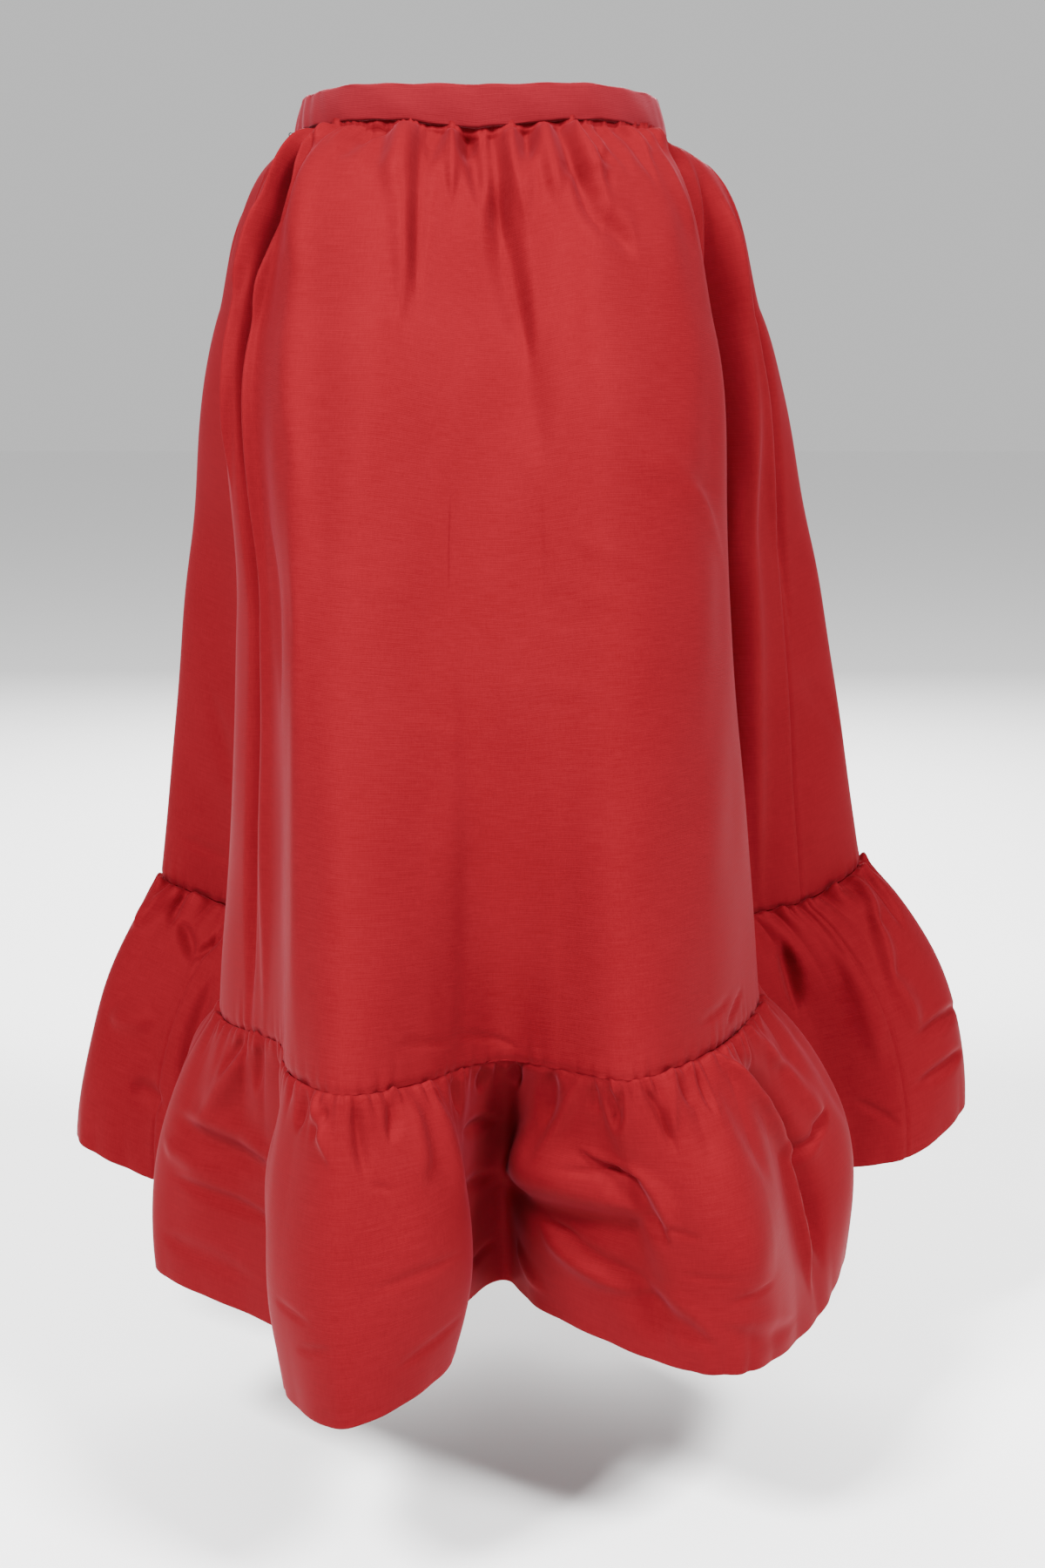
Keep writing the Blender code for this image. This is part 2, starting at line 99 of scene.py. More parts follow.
# Columns of each panel's mesh, rows that its form is worked out on, and cloth tucked under the band
FRONT_COLUMNS = 640
BACK_COLUMNS = 544
RUFFLE_FRONT_COLUMNS = 780
RUFFLE_BACK_COLUMNS = 660
SKIRT_FORM_ROWS = 201
RUFFLE_FORM_ROWS = 121
TUCK = 4.5 * MM

# Lengths round the cloth at the seam and near the hem, in metres
SEAM_ROUND = 2.242
HEM_ROUND = 2.60


def unit(vectors):
    return vectors / np.linalg.norm(vectors, axis=-1, keepdims=True)


def cloth_shares():
    # Where each fold stands round the lower edge, as a share of the way round.
    points = np.array([[fold.seam_x, fold.seam_y] for fold in FOLDS], float)
    steps = np.linalg.norm(np.roll(points, -1, axis=0) - points, axis=1)
    return np.concatenate([[0.0], np.cumsum(steps)[:-1]]) / steps.sum()


SHARES = cloth_shares()


def share_of(name):
    return SHARES[[fold.name for fold in FOLDS].index(name)]


LEFT_SEAM = share_of(LEFT_SEAM_FOLD) - 1.0
RIGHT_SEAM = share_of(RIGHT_SEAM_FOLD)


def wrapped(share):
    # The shorter way round, from half a turn back to half a turn ahead.
    return np.mod(share + 0.5, 1.0) - 0.5


def smooth_step(value):
    value = np.clip(value, 0.0, 1.0)
    return value * value * (3.0 - 2.0 * value)


def growing(along, least, reach):
    # For each row, from its least at the seam to 1 at its reach.
    return (least + (1.0 - least) * smooth_step(along / reach))[:, None]


def fading(distance, reach):
    # For each row, from 1 at no distance to next to nothing at twice its reach.
    return np.exp(-((distance / reach) ** 2))[:, None]


def smooth_between(start, end, start_slope, end_slope, t):
    # A smooth curve from start to end with the slope wanted at each.
    return (
        (2 * t**3 - 3 * t**2 + 1) * start
        + (t**3 - 2 * t**2 + t) * start_slope
        + (3 * t**2 - 2 * t**3) * end
        + (t**3 - t**2) * end_slope
    )


def closed_curve(columns, at):
    # Smooth closed curves through the values in these columns of the folds, one point for each share.
    values = np.array([[getattr(fold, column) for column in columns] for fold in FOLDS], float)
    ahead = np.diff(np.append(SHARES, 1.0))
    behind = np.roll(ahead, 1)
    rise_ahead = (np.roll(values, -1, axis=0) - values) / ahead[:, None]
    rise_behind = (values - np.roll(values, 1, axis=0)) / behind[:, None]
    slope = (rise_behind * ahead[:, None] + rise_ahead * behind[:, None]) / (ahead + behind)[:, None]
    at = np.mod(at, 1.0)
    start = np.searchsorted(SHARES, at, side="right") - 1
    end = (start + 1) % len(values)
    width = ahead[start][:, None]
    t = (at[:, None] - SHARES[start][:, None]) / width
    return smooth_between(values[start], values[end], width * slope[start], width * slope[end], t) * MM


def band_point(bearing, inset, height):
    # A point of the waistband's oval, set in from its outside face.
    angle = np.radians(bearing)
    across = (BAND_HALF_WIDTH - inset) * np.sin(angle)
    back = -(BAND_HALF_DEPTH - inset) * np.cos(angle)
    return np.stack([across, back, np.broadcast_to(height, np.shape(across))], axis=-1)


def waist_bearing(at):
    # Where on the waistband each column hangs from, in degrees from the front.
    bearings = [fold.bearing for fold in FOLDS] + [FOLDS[0].bearing + 360.0]
    return np.interp(np.mod(at, 1.0), np.append(SHARES, 1.0), bearings)


def drops_from(plan, along, first, last):
    # Heights down the cloth from its length, ending at the heights wanted.
    step = np.diff(along)[:, None]
    run = np.linalg.norm(np.diff(plan, axis=0), axis=2)
    fall = np.sqrt(np.maximum(step**2 - run**2, (STEEPEST * step) ** 2))
    share = np.concatenate([np.zeros((1, plan.shape[1])), np.cumsum(fall, axis=0)]) / fall.sum(axis=0)
    return first + (last - first) * share


def rows_at(surface, fine, along):
    # The surface's rows at the lengths asked for.
    place = np.interp(along, fine, np.arange(len(fine)))
    low = np.minimum(place.astype(int), len(fine) - 2)
    part = (place - low)[:, None, None]
    return surface[low] * (1 - part) + surface[low + 1] * part


def steps_round(surface):
    return np.roll(surface, -1, axis=1) - np.roll(surface, 1, axis=1)


def level_normals(surface):
    # Outward directions with no rise or fall, across and back.
    step = steps_round(surface)
    return unit(np.stack([step[..., 1], -step[..., 0]], axis=2))


def level_directions(surface):
    flat = level_normals(surface)
    return np.concatenate([flat, np.zeros((*flat.shape[:2], 1))], axis=2)


def outward(surface):
    # Half level and half square to the cloth.
    square = np.cross(np.gradient(surface, axis=0), steps_round(surface))
    return unit(level_directions(surface) + unit(square))


def skirt_form(at, along):
    # Points of the skirt's cloth, rows down it and columns round it, without its gathers.
    fine = np.linspace(0.0, SKIRT_LENGTH, SKIRT_FORM_ROWS)
    waist = band_point(waist_bearing(at), BAND_WALL / 2, 0.0)[:, :2]
    hip = closed_curve(["hip_x", "hip_y"], at)
    thigh = closed_curve(["thigh_x", "thigh_y"], at)
    seam = closed_curve(["seam_x", "seam_y"], at)
    upper = HIP_LENGTH
    middle = THIGH_LENGTH - HIP_LENGTH
    lower = SKIRT_LENGTH - THIGH_LENGTH
    above_hip = (hip - waist) / upper
    above_thigh = (thigh - hip) / middle
    above_seam = (seam - thigh) / lower
    hip_slope = (above_hip * middle + above_thigh * upper) / (upper + middle)
    thigh_slope = (above_thigh * lower + above_seam * middle) / (middle + lower)
    stretches = [
        (fine <= HIP_LENGTH, 0.0, upper, waist, hip, above_hip * FLARE_AT_WAIST, hip_slope),
        ((fine > HIP_LENGTH) & (fine < THIGH_LENGTH), HIP_LENGTH, middle, hip, thigh, hip_slope, thigh_slope),
        (fine >= THIGH_LENGTH, THIGH_LENGTH, lower, thigh, seam, thigh_slope, above_seam),
    ]
    plan = np.empty((len(fine), len(at), 2))
    for rows, above, length, start, end, start_slope, end_slope in stretches:
        t = ((fine[rows] - above) / length)[:, None, None]
        plan[rows] = smooth_between(start, end, start_slope * length, end_slope * length, t)
    top = stretches[0][0]
    swell = np.sin(math.pi * (fine[top] / upper) ** PUFF_RISE)
    plan[top] += swell[:, None, None] * (closed_curve(["puff"], at) * unit(waist))[None]
    height = drops_from(plan, fine, -BAND_HEIGHT / 2 - SEAM_GAP, -closed_curve(["seam_drop"], at)[:, 0])
    return rows_at(np.concatenate([plan, height[..., None]], axis=2), fine, along)


def ruffle_form(at, along):
    # Points of the ruffle's cloth, springing out from the seam and turning down to the hem.
    fine = np.linspace(0.0, RUFFLE_LENGTH, RUFFLE_FORM_ROWS)
    seam = closed_curve(["seam_x", "seam_y", "seam_drop"], at)
    hem = closed_curve(["hem_x", "hem_y", "hem_drop"], at)
    out = np.sin(math.pi / 2 * (fine / RUFFLE_LENGTH) ** RUFFLE_SPRING)[:, None, None]
    plan = seam[:, :2] + (hem[:, :2] - seam[:, :2]) * out
    bulge = np.sin(math.pi * fine / RUFFLE_LENGTH)[:, None] * closed_curve(["swell"], at)[:, 0]
    plan += level_normals(plan) * bulge[..., None]
    height = drops_from(plan, fine, -seam[:, 2] - SEAM_GAP, -hem[:, 2])
    return rows_at(np.concatenate([plan, height[..., None]], axis=2), fine, along)


def ring_columns(front, back):
    # Shares of the mesh's columns all the way round, starting at the left side seam.
    first = LEFT_SEAM + (RIGHT_SEAM - LEFT_SEAM) * np.arange(front) / front
    second = RIGHT_SEAM + (LEFT_SEAM + 1.0 - RIGHT_SEAM) * np.arange(back) / back
    return np.concatenate([first, second])


def graded_rows(length, finest, growth, coarsest):
    # Lengths down the cloth, close together at both ends.
    rows = [0.0]
    while rows[-1] < length:
        edge = max(min(rows[-1], length - rows[-1]), 0.0)
        rows.append(rows[-1] + min(finest + growth * edge, coarsest))
    return np.array(rows) * length / rows[-1]


# How unlike the gathers are: the least share of the usual height and what chance adds, the shares of the
# usual reach, and how suddenly a gather ends
GATHER_LEAST = 0.3
GATHER_EXTRA = 1.4
GATHER_REACHES = (0.4, 1.7)
GATHER_FALL = 1.4


class Gathers:
    # Uneven gathers round the cloth, each with its own place, height and reach down.
    def __init__(self, count, seed, height, reach, spread=0.30, sharpness=0.8):
        chance = np.random.default_rng(seed)
        steps = 1.0 + spread * chance.uniform(-1.0, 1.0, count)
        self.edges = np.concatenate([[0.0], np.cumsum(steps)]) / steps.sum()
        self.heights = height * (GATHER_LEAST + GATHER_EXTRA * chance.uniform(0.0, 1.0, count) ** 2)
        self.reaches = reach * chance.uniform(*GATHER_REACHES, count)
        self.drifts = chance.uniform(-1.0, 1.0, count)
        self.sharpness = sharpness
        self.count = count

    def smooth(self, values, phase):
        # One value for each gather, blended from one gather to the next.
        low = np.floor(phase).astype(int)
        part = smooth_step(phase - low)
        return values[low % self.count] * (1 - part) + values[(low + 1) % self.count] * part

    def rise(self, at, along, drift=0.0):
        # Height of the wave at each row and column. Ridges are round and valleys are sharp.
        number = np.interp(np.mod(at, 1.0), self.edges, np.arange(self.count + 1.0))
        lean = self.smooth(self.drifts, number)[None] * drift * along[:, None]
        phase = number[None] + lean
        wave = 2.0 * np.abs(np.cos(math.pi * phase)) ** self.sharpness - 1.0
        height = self.smooth(self.heights, phase)
        reach = self.smooth(self.reaches, phase)
        return height * wave * np.exp(-((np.maximum(along, 0.0)[:, None] / reach) ** GATHER_FALL))


# A crease runs from one end to the other, each given as a share round the cloth and millimetres down it.
# Width and height are millimetres, a trough below nought. Bow bends it sideways. Step from 0 to 1 turns a
# trough into a step with one side raised. Where these two aren't given they are 0.
Crease = namedtuple("Crease", "share_a along_a share_b along_b width height bow step", defaults=(0, 0.0))
CREASE_WIDEST = 1.15
CREASE_NARROWING = 0.6
CREASE_STEP_HEIGHT = 1.6
CREASE_HALF_LENGTH = 0.45


def crease_rise(creases, at, along, round_length, spread=1.0):
    # Sum of the creases at each row and column.
    total = np.zeros((len(along), len(at)))
    for crease in creases:
        across_b = wrapped(crease.share_b - crease.share_a) * round_length
        down_b = (crease.along_b - crease.along_a) * MM
        reach = math.hypot(across_b, down_b)
        ahead = np.array([across_b, down_b]) / reach
        across = wrapped(at - crease.share_a)[None] * round_length
        down = along[:, None] - crease.along_a * MM
        part = (across * ahead[0] + down * ahead[1]) / reach
        aside = across * ahead[1] - down * ahead[0] - crease.bow * MM * 4 * part * (1 - part)
        taper = CREASE_WIDEST - CREASE_NARROWING * np.minimum(np.abs(part - 0.5) * 2, 1.0) ** 2
        near = aside / (crease.width * MM * taper * spread)
        hump = np.exp(-(near**2))
        shape = (1 - crease.step) * hump - crease.step * CREASE_STEP_HEIGHT * near * hump
        total += crease.height * MM * shape * np.exp(-(((part - 0.5) / CREASE_HALF_LENGTH) ** 4))
    return total


# Creases of the skirt, then of the ruffle
SKIRT_CREASES = [
    # Under the front of the waistband
    Crease(0.912, -6, 0.919, 20, 4.4, -4.2),
    Crease(0.919, 14, 0.911, 38, 3.8, -4.0, 2, 0.4),
    Crease(0.925, -8, 0.928, 46, 4.4, -4.2, 0, 0.2),
    Crease(0.933, -8, 0.934, 64, 5.0, 3.0),
    Crease(0.941, -12, 0.941, 150, 5.0, 3.4),
    Crease(0.950, -12, 0.949, 130, 5.6, -4.6, 0, 0.4),
    Crease(0.961, -6, 0.953, 36, 3.4, -3.8, 0, 0.2),
    Crease(0.969, -8, 0.968, 60, 5.0, 3.0),
    Crease(0.978, -5, 0.981, 28, 3.6, -4.2),
    Crease(0.985, -8, 0.990, 62, 4.0, -4.2, 0, 0.3),
    Crease(0.991, -8, 0.996, 66, 3.4, 2.8),
    Crease(0.997, -14, 0.002, 88, 5.6, -7.0, 0, 0.4),
    Crease(0.001, 54, 0.013, 170, 8.4, -6.4, 2, 0.5),
    Crease(0.011, 130, 0.018, 250, 12.0, -3.0, 0, 0.3),
    Crease(0.006, -10, 0.014, 78, 4.4, 3.4),
    Crease(0.011, -6, 0.016, 34, 3.2, -3.6, 0, 0.2),
    Crease(0.019, -6, 0.012, 44, 3.4, -4.0, 0, 0.3),
    Crease(0.026, -8, 0.030, 68, 5.0, 3.2),
    Crease(0.034, -10, 0.046, 60, 5.4, -6.0, -2, 0.4),
    Crease(0.044, 44, 0.053, 90, 5.4, -6.0, 1, 0.5),
    Crease(0.050, 80, 0.068, 104, 4.0, -4.4, 3, 0.5),
    Crease(0.043, -6, 0.054, 66, 4.8, 3.6),
    Crease(0.050, -4, 0.057, 34, 3.4, -4.2, 0, 0.3),
    Crease(0.053, 35, 0.065, 41, 2.2, -3.2, 1, 0.2),
    Crease(0.062, -6, 0.070, 44, 4.4, -3.2),
    Crease(0.032, 46, 0.043, 49, 1.6, -1.0),
    Crease(0.045, 52, 0.062, 58, 1.6, -1.2, 1),
    Crease(0.078, -6, 0.088, 50, 4.6, -3.0, 0, 0.2),
    # Front edge of the right fold, and the roll above the recess behind it
    Crease(0.082, 0, 0.100, 26, 4.5, 2.6),
    Crease(0.098, 20, 0.129, 88, 6.0, 2.2, 2),
    Crease(0.090, 8, 0.112, 52, 5.0, -1.6, 2),
    Crease(0.104, 7, 0.205, 8, 4.5, 3.4),
    Crease(0.130, 17, 0.225, 20, 5.0, -2.6),
    # Depth of the right recess, and the narrow fold behind it
    Crease(0.239, 50, 0.235, 330, 10.0, -19.0),
    Crease(0.236, 250, 0.231, 655, 10.0, -18.0),
    Crease(0.222, 90, 0.218, 620, 14.0, -7.0),
    Crease(0.249, 60, 0.247, 330, 7.0, 4.0),
    Crease(0.247, 270, 0.244, 650, 8.0, 4.0),
    Crease(0.251, 60, 0.255, 180, 5.0, 3.4, -2),
    Crease(0.255, 150, 0.260, 350, 5.0, 3.4, 1),
    Crease(0.259, 84, 0.264, 400, 5.0, -4.2, -1),
    # Left edge: two narrow folds with a dark hollow between them
    Crease(0.887, -6, 0.868, 26, 3.4, 3.2),
    Crease(0.872, 18, 0.864, 80, 3.8, 4.2),
    Crease(0.866, 64, 0.860, 150, 5.0, 4.6, 1),
    Crease(0.861, 130, 0.857, 330, 6.0, 4.2),
    Crease(0.858, 300, 0.856, 640, 8.0, 3.2),
    Crease(0.876, 10, 0.872, 62, 4.0, -2.4),
    Crease(0.858, 22, 0.852, 124, 9.0, -18.0),
    Crease(0.852, 88, 0.847, 250, 7.0, -13.0),
    Crease(0.847, 210, 0.846, 640, 7.0, -8.0),
    Crease(0.842, -4, 0.838, 62, 4.0, 4.0),
    Crease(0.838, 55, 0.832, 130, 5.0, 5.0),
    Crease(0.832, 110, 0.832, 260, 6.0, 4.0),
    # Soft upright ridge down the left of the front
    Crease(0.889, 28, 0.904, 118, 9.0, 2.4, -4),
    Crease(0.904, 104, 0.909, 262, 11.0, 2.4, 0, 0.4),
    Crease(0.909, 236, 0.906, 372, 12.0, 2.0, 0, 0.3),
    Crease(0.906, 350, 0.909, 640, 14.0, 1.8, 0, 0.3),
    Crease(0.915, 160, 0.918, 330, 11.0, -1.0),
    # Flatter cloth above the hollow between the two front folds
    Crease(0.001, 300, 0.001, 640, 26.0, 6.0),
    Crease(0.977, 360, 0.975, 640, 18.0, 2.0),
    # Faint lines and bends across the front
    Crease(0.013, 356, 0.039, 359, 1.8, -1.4, 1),
    Crease(0.010, 346, 0.036, 335, 2.0, -1.1, 1),
    Crease(0.022, 332, 0.044, 345, 3.0, 1.1),
    Crease(0.972, 268, 0.973, 338, 2.4, -0.7, 0, 0.2),
    Crease(0.015, 270, 0.014, 336, 2.4, -0.7, 0, 0.2),
    Crease(0.048, 222, 0.122, 322, 8.0, 1.8, 4, 0.2),
    Crease(0.052, 246, 0.108, 296, 6.0, 1.3, 3, 0.2),
    Crease(0.060, 268, 0.123, 272, 3.5, -1.0, 2),
    Crease(0.028, 300, 0.052, 322, 5.0, 1.0),
    Crease(0.992, 398, 0.036, 404, 3.0, 0.8, 2),
    Crease(0.942, 420, 0.985, 436, 3.5, 0.8, -2),
    Crease(0.920, 330, 0.960, 344, 3.0, 0.7, 2),
    Crease(0.872, 300, 0.880, 420, 10.0, -1.5),
    Crease(0.976, 641, 0.004, 656, 3.0, -1.8, 2, 0.3),
    Crease(0.950, 640, 0.974, 646, 3.0, -1.4, 1),
    Crease(0.076, 644, 0.098, 636, 3.0, -1.4, -2),
    Crease(0.094, 656, 0.110, 640, 3.0, -1.9),
    Crease(0.690, 622, 0.712, 626, 3.0, -1.4, 1),
    Crease(0.700, 480, 0.712, 560, 8.0, -1.6),
    Crease(0.268, 470, 0.290, 540, 8.0, -1.6, 3),
    # Sides and back, of the same sizes as those in front
    Crease(0.300, 4, 0.310, 78, 4.5, -2.8, 1, 0.2),
    Crease(0.318, 0, 0.321, 46, 4.0, -2.2),
    Crease(0.338, 0, 0.352, 96, 5.0, -3.0, 3, 0.3),
    Crease(0.362, 2, 0.365, 54, 4.0, -2.0),
    Crease(0.384, 0, 0.392, 120, 5.0, -3.2, 2, 0.2),
    Crease(0.402, 3, 0.404, 40, 3.5, -1.8),
    Crease(0.420, 0, 0.428, 88, 4.5, -2.6, -2, 0.2),
    Crease(0.446, 0, 0.450, 60, 4.0, -2.2),
    Crease(0.466, 2, 0.478, 130, 5.0, -3.2, 3, 0.3),
    Crease(0.492, 0, 0.497, 50, 4.0, -2.0),
    Crease(0.512, 0, 0.518, 96, 5.0, -2.8, -2, 0.2),
    Crease(0.536, 2, 0.540, 42, 3.5, -1.8),
    Crease(0.556, 0, 0.566, 110, 4.5, -3.0, 2, 0.2),
    Crease(0.590, 0, 0.596, 60, 4.0, -2.2),
    Crease(0.612, 0, 0.622, 84, 4.5, -2.6, 0, 0.2),
    Crease(0.648, 2, 0.652, 50, 4.0, -2.0),
    Crease(0.676, 0, 0.690, 100, 5.0, -2.6, 3, 0.2),
    Crease(0.330, 160, 0.338, 420, 9.0, 1.8, 3, 0.2),
    Crease(0.410, 120, 0.404, 330, 8.0, 1.9, 0, 0.3),
    Crease(0.486, 150, 0.492, 380, 9.0, 1.6, -3, 0.2),
    Crease(0.548, 200, 0.540, 470, 10.0, 1.7, 0, 0.2),
    Crease(0.630, 140, 0.636, 360, 8.0, 1.8, 2, 0.3),
    Crease(0.380, 300, 0.410, 318, 2.2, -0.8, 1),
    Crease(0.455, 356, 0.490, 348, 2.0, -0.8, 1),
    Crease(0.520, 430, 0.575, 470, 6.0, 1.0, 4, 0.2),
    Crease(0.350, 500, 0.400, 540, 6.0, 0.9, 3, 0.2),
    Crease(0.600, 520, 0.640, 500, 5.0, 0.8, 2),
    Crease(0.430, 640, 0.462, 650, 3.0, -1.6, 2, 0.3),
    Crease(0.500, 650, 0.522, 640, 3.0, -1.2),
    Crease(0.580, 644, 0.604, 652, 3.0, -1.3, 1),
    Crease(0.360, 650, 0.382, 642, 3.0, -1.2),
]
RUFFLE_CREASES = [
    # Left front fold
    Crease(0.915, 4, 0.914, 30, 4.0, -2.6),
    Crease(0.919, 4, 0.928, 44, 4.5, 2.4, 1),
    Crease(0.926, 8, 0.921, 32, 4.0, -2.2, 0, 0.2),
    Crease(0.936, 3, 0.938, 56, 5.0, -3.0, 0, 0.2),
    Crease(0.949, 4, 0.945, 34, 4.0, -2.6),
    Crease(0.955, 4, 0.951, 66, 7.0, 2.2),
    Crease(0.941, 20, 0.944, 110, 12.0, -1.8, 0, 0.2),
    Crease(0.962, 10, 0.962, 90, 9.0, 1.6),
    Crease(0.938, 60, 0.945, 69, 2.2, -0.9),
    Crease(0.938, 133, 0.957, 130, 4.0, -1.1, 2, 0.3),
    Crease(0.910, 152, 0.922, 157, 3.0, -1.0, 1, 0.3),
    Crease(0.917, 181, 0.928, 172, 3.0, -1.0, 1, 0.3),
    Crease(0.944, 198, 0.959, 186, 4.0, -0.9, 1, 0.2),
    Crease(0.897, 40, 0.893, 150, 9.0, 1.6),
    # Between the front folds
    Crease(0.975, 3, 0.979, 40, 4.0, -2.4),
    Crease(0.991, 4, 0.992, 36, 4.0, -2.2),
    Crease(0.983, 62, 0.999, 76, 7.0, -2.4, 2, 0.5),
    Crease(0.984, 122, 0.999, 132, 7.0, -2.0, 1, 0.5),
    Crease(0.988, 205, 0.999, 196, 4.0, -1.4, 0, 0.2),
    # Top of the right front fold
    Crease(0.003, 3, 0.006, 34, 4.0, -2.6),
    Crease(0.018, 4, 0.021, 54, 7.0, -3.8, 2, 0.2),
    Crease(0.028, 4, 0.022, 80, 6.0, 3.0, 2, 0.2),
    Crease(0.033, 4, 0.034, 32, 3.5, -2.2),
    Crease(0.038, 4, 0.040, 42, 3.6, -3.0, 1),
    Crease(0.043, 4, 0.041, 40, 3.4, -2.2, -1),
    Crease(0.036, 26, 0.041, 92, 9.0, -3.0, 0, 0.3),
    Crease(0.051, 4, 0.057, 56, 4.2, -3.2, 2, 0.3),
    Crease(0.060, 6, 0.056, 48, 4.0, 1.6),
    Crease(0.064, 4, 0.065, 28, 4.0, -2.0),
    Crease(0.071, 3, 0.072, 38, 4.0, -2.2),
    Crease(0.076, 8, 0.089, 98, 11.0, -2.2, 2, 0.2),
    # Puffs and hollows down the middle of the right front fold
    Crease(0.008, 96, 0.034, 84, 20.0, 4.2),
    Crease(0.001, 142, 0.048, 108, 19.0, -6.6, 3, 0.85),
    Crease(0.027, 83, 0.042, 71, 3.2, -1.8, -2, 0.3),
    Crease(0.031, 66, 0.046, 78, 4.5, -2.6, -2, 0.9),
    Crease(0.043, 72, 0.053, 124, 8.0, -4.4, 2, 0.9),
    Crease(0.021, 149, 0.045, 174, 9.0, 3.4, -4, 0.9),
    Crease(0.018, 151, 0.030, 150, 2.6, -1.0, 1),
    Crease(0.043, 112, 0.050, 214, 16.0, -5.2, 0, 0.4),
    Crease(0.042, 172, 0.064, 203, 10.0, -3.2, 2, 0.6),
    Crease(0.010, 188, 0.021, 212, 7.0, 2.2, 1, 0.3),
    Crease(0.050, 113, 0.063, 121, 2.4, -1.0, 1, 0.3),
    Crease(0.056, 150, 0.074, 156, 2.4, -0.6, 1, 0.3),
    Crease(0.070, 173, 0.085, 166, 2.8, -1.0, 1, 0.3),
    Crease(0.070, 192, 0.098, 212, 9.0, -2.0, -2, 0.6),
    Crease(0.062, 60, 0.080, 170, 24.0, 3.4),
    # Sharp right edge of the right front fold, and the folds behind it
    Crease(0.082, 0, 0.097, 56, 5.0, 4.0, 2),
    Crease(0.094, 42, 0.108, 102, 5.0, 5.0, 2),
    Crease(0.106, 84, 0.110, 200, 5.0, 4.6),
    Crease(0.099, 20, 0.115, 96, 9.0, -6.0, 2),
    Crease(0.115, 80, 0.118, 190, 11.0, -6.4),
    Crease(0.111, 3, 0.121, 44, 7.0, 2.8),
    Crease(0.121, 38, 0.130, 104, 8.0, 3.0),
    Crease(0.132, 98, 0.125, 111, 5.0, -3.4, 0, 0.3),
    Crease(0.127, 110, 0.110, 118, 6.0, -3.8, 2, 0.5),
    Crease(0.138, 20, 0.142, 120, 11.0, -2.6),
    # Behind the left front fold
    Crease(0.834, 80, 0.847, 14, 10.0, 3.2, 2),
    Crease(0.843, 4, 0.838, 40, 4.0, -2.4),
    Crease(0.853, 5, 0.852, 46, 4.0, -2.6),
    Crease(0.826, 90, 0.857, 106, 13.0, -4.4, 3, 0.9),
    Crease(0.828, 140, 0.858, 150, 6.0, -2.4, 3, 0.5),
    Crease(0.820, 118, 0.840, 126, 9.0, 1.8),
    Crease(0.824, 194, 0.850, 200, 9.0, -1.6, 2, 0.4),
    # Left side
    Crease(0.684, 48, 0.688, 6, 9.0, 3.2),
    Crease(0.700, 28, 0.711, 54, 5.0, -3.4, 2, 0.2),
    Crease(0.711, 54, 0.718, 24, 4.5, -2.6),
    Crease(0.694, 4, 0.697, 36, 4.0, -2.4),
    Crease(0.703, 164, 0.718, 168, 8.0, -3.6, 2, 0.2),
    Crease(0.690, 120, 0.706, 112, 9.0, 2.4),
    Crease(0.724, 60, 0.726, 150, 8.0, -2.4),
    Crease(0.672, 60, 0.664, 130, 9.0, -2.8, 3, 0.2),
    # Right side
    Crease(0.284, 4, 0.275, 48, 5.0, 3.2, 1),
    Crease(0.276, 40, 0.269, 90, 6.0, 3.6, 1),
    Crease(0.269, 82, 0.272, 136, 8.0, 3.0),
    Crease(0.290, 4, 0.284, 60, 5.0, -2.8),
    Crease(0.271, 141, 0.298, 153, 5.0, -3.8, 3, 0.3),
    Crease(0.267, 176, 0.290, 182, 5.0, -3.8, 2, 0.3),
    Crease(0.246, 174, 0.259, 203, 3.0, -1.1, 1),
    Crease(0.242, 34, 0.234, 90, 7.0, -4.6),
    Crease(0.258, 60, 0.256, 150, 9.0, 1.8),
    # Round the back
    Crease(0.316, 4, 0.320, 52, 5.0, -3.0, 1),
    Crease(0.330, 80, 0.352, 96, 8.0, -4.0, 3, 0.2),
    Crease(0.340, 3, 0.336, 70, 6.0, 2.8, 1),
    Crease(0.366, 4, 0.374, 92, 6.0, 3.4, 2),
    Crease(0.382, 30, 0.388, 130, 8.0, -3.6, 0, 0.2),
    Crease(0.396, 150, 0.420, 140, 6.0, -3.4, 2, 0.3),
    Crease(0.410, 5, 0.414, 60, 5.0, -3.0),
    Crease(0.426, 90, 0.450, 104, 9.0, 3.0, 3),
    Crease(0.440, 4, 0.436, 50, 5.0, -2.8),
    Crease(0.452, 120, 0.470, 150, 6.0, -3.6, 2, 0.3),
    Crease(0.476, 4, 0.482, 84, 6.0, 3.2, 1),
    Crease(0.490, 20, 0.497, 110, 8.0, -3.4, 0, 0.2),
    Crease(0.505, 176, 0.530, 190, 7.0, -2.6, 2, 0.2),
    Crease(0.518, 4, 0.516, 46, 5.0, -2.8),
    Crease(0.532, 60, 0.556, 80, 8.0, -4.0, 3, 0.2),
    Crease(0.548, 4, 0.556, 70, 6.0, 3.2, 1),
    Crease(0.570, 110, 0.592, 98, 6.0, -3.4, 2, 0.3),
    Crease(0.584, 5, 0.580, 60, 5.0, -2.8),
    Crease(0.604, 30, 0.612, 140, 7.0, 3.4, 2),
    Crease(0.622, 150, 0.644, 160, 7.0, -3.2, 2, 0.2),
    Crease(0.636, 4, 0.640, 54, 5.0, -3.0),
    Crease(0.150, 10, 0.160, 120, 8.0, -3.0, 2),
    Crease(0.180, 20, 0.190, 140, 9.0, 2.6),
    Crease(0.205, 60, 0.225, 80, 8.0, -3.4, 2, 0.2),
    Crease(0.746, 20, 0.752, 120, 8.0, -3.0),
    Crease(0.780, 60, 0.800, 76, 8.0, -3.6, 2, 0.2),
    Crease(0.806, 10, 0.800, 90, 7.0, 2.6),
]

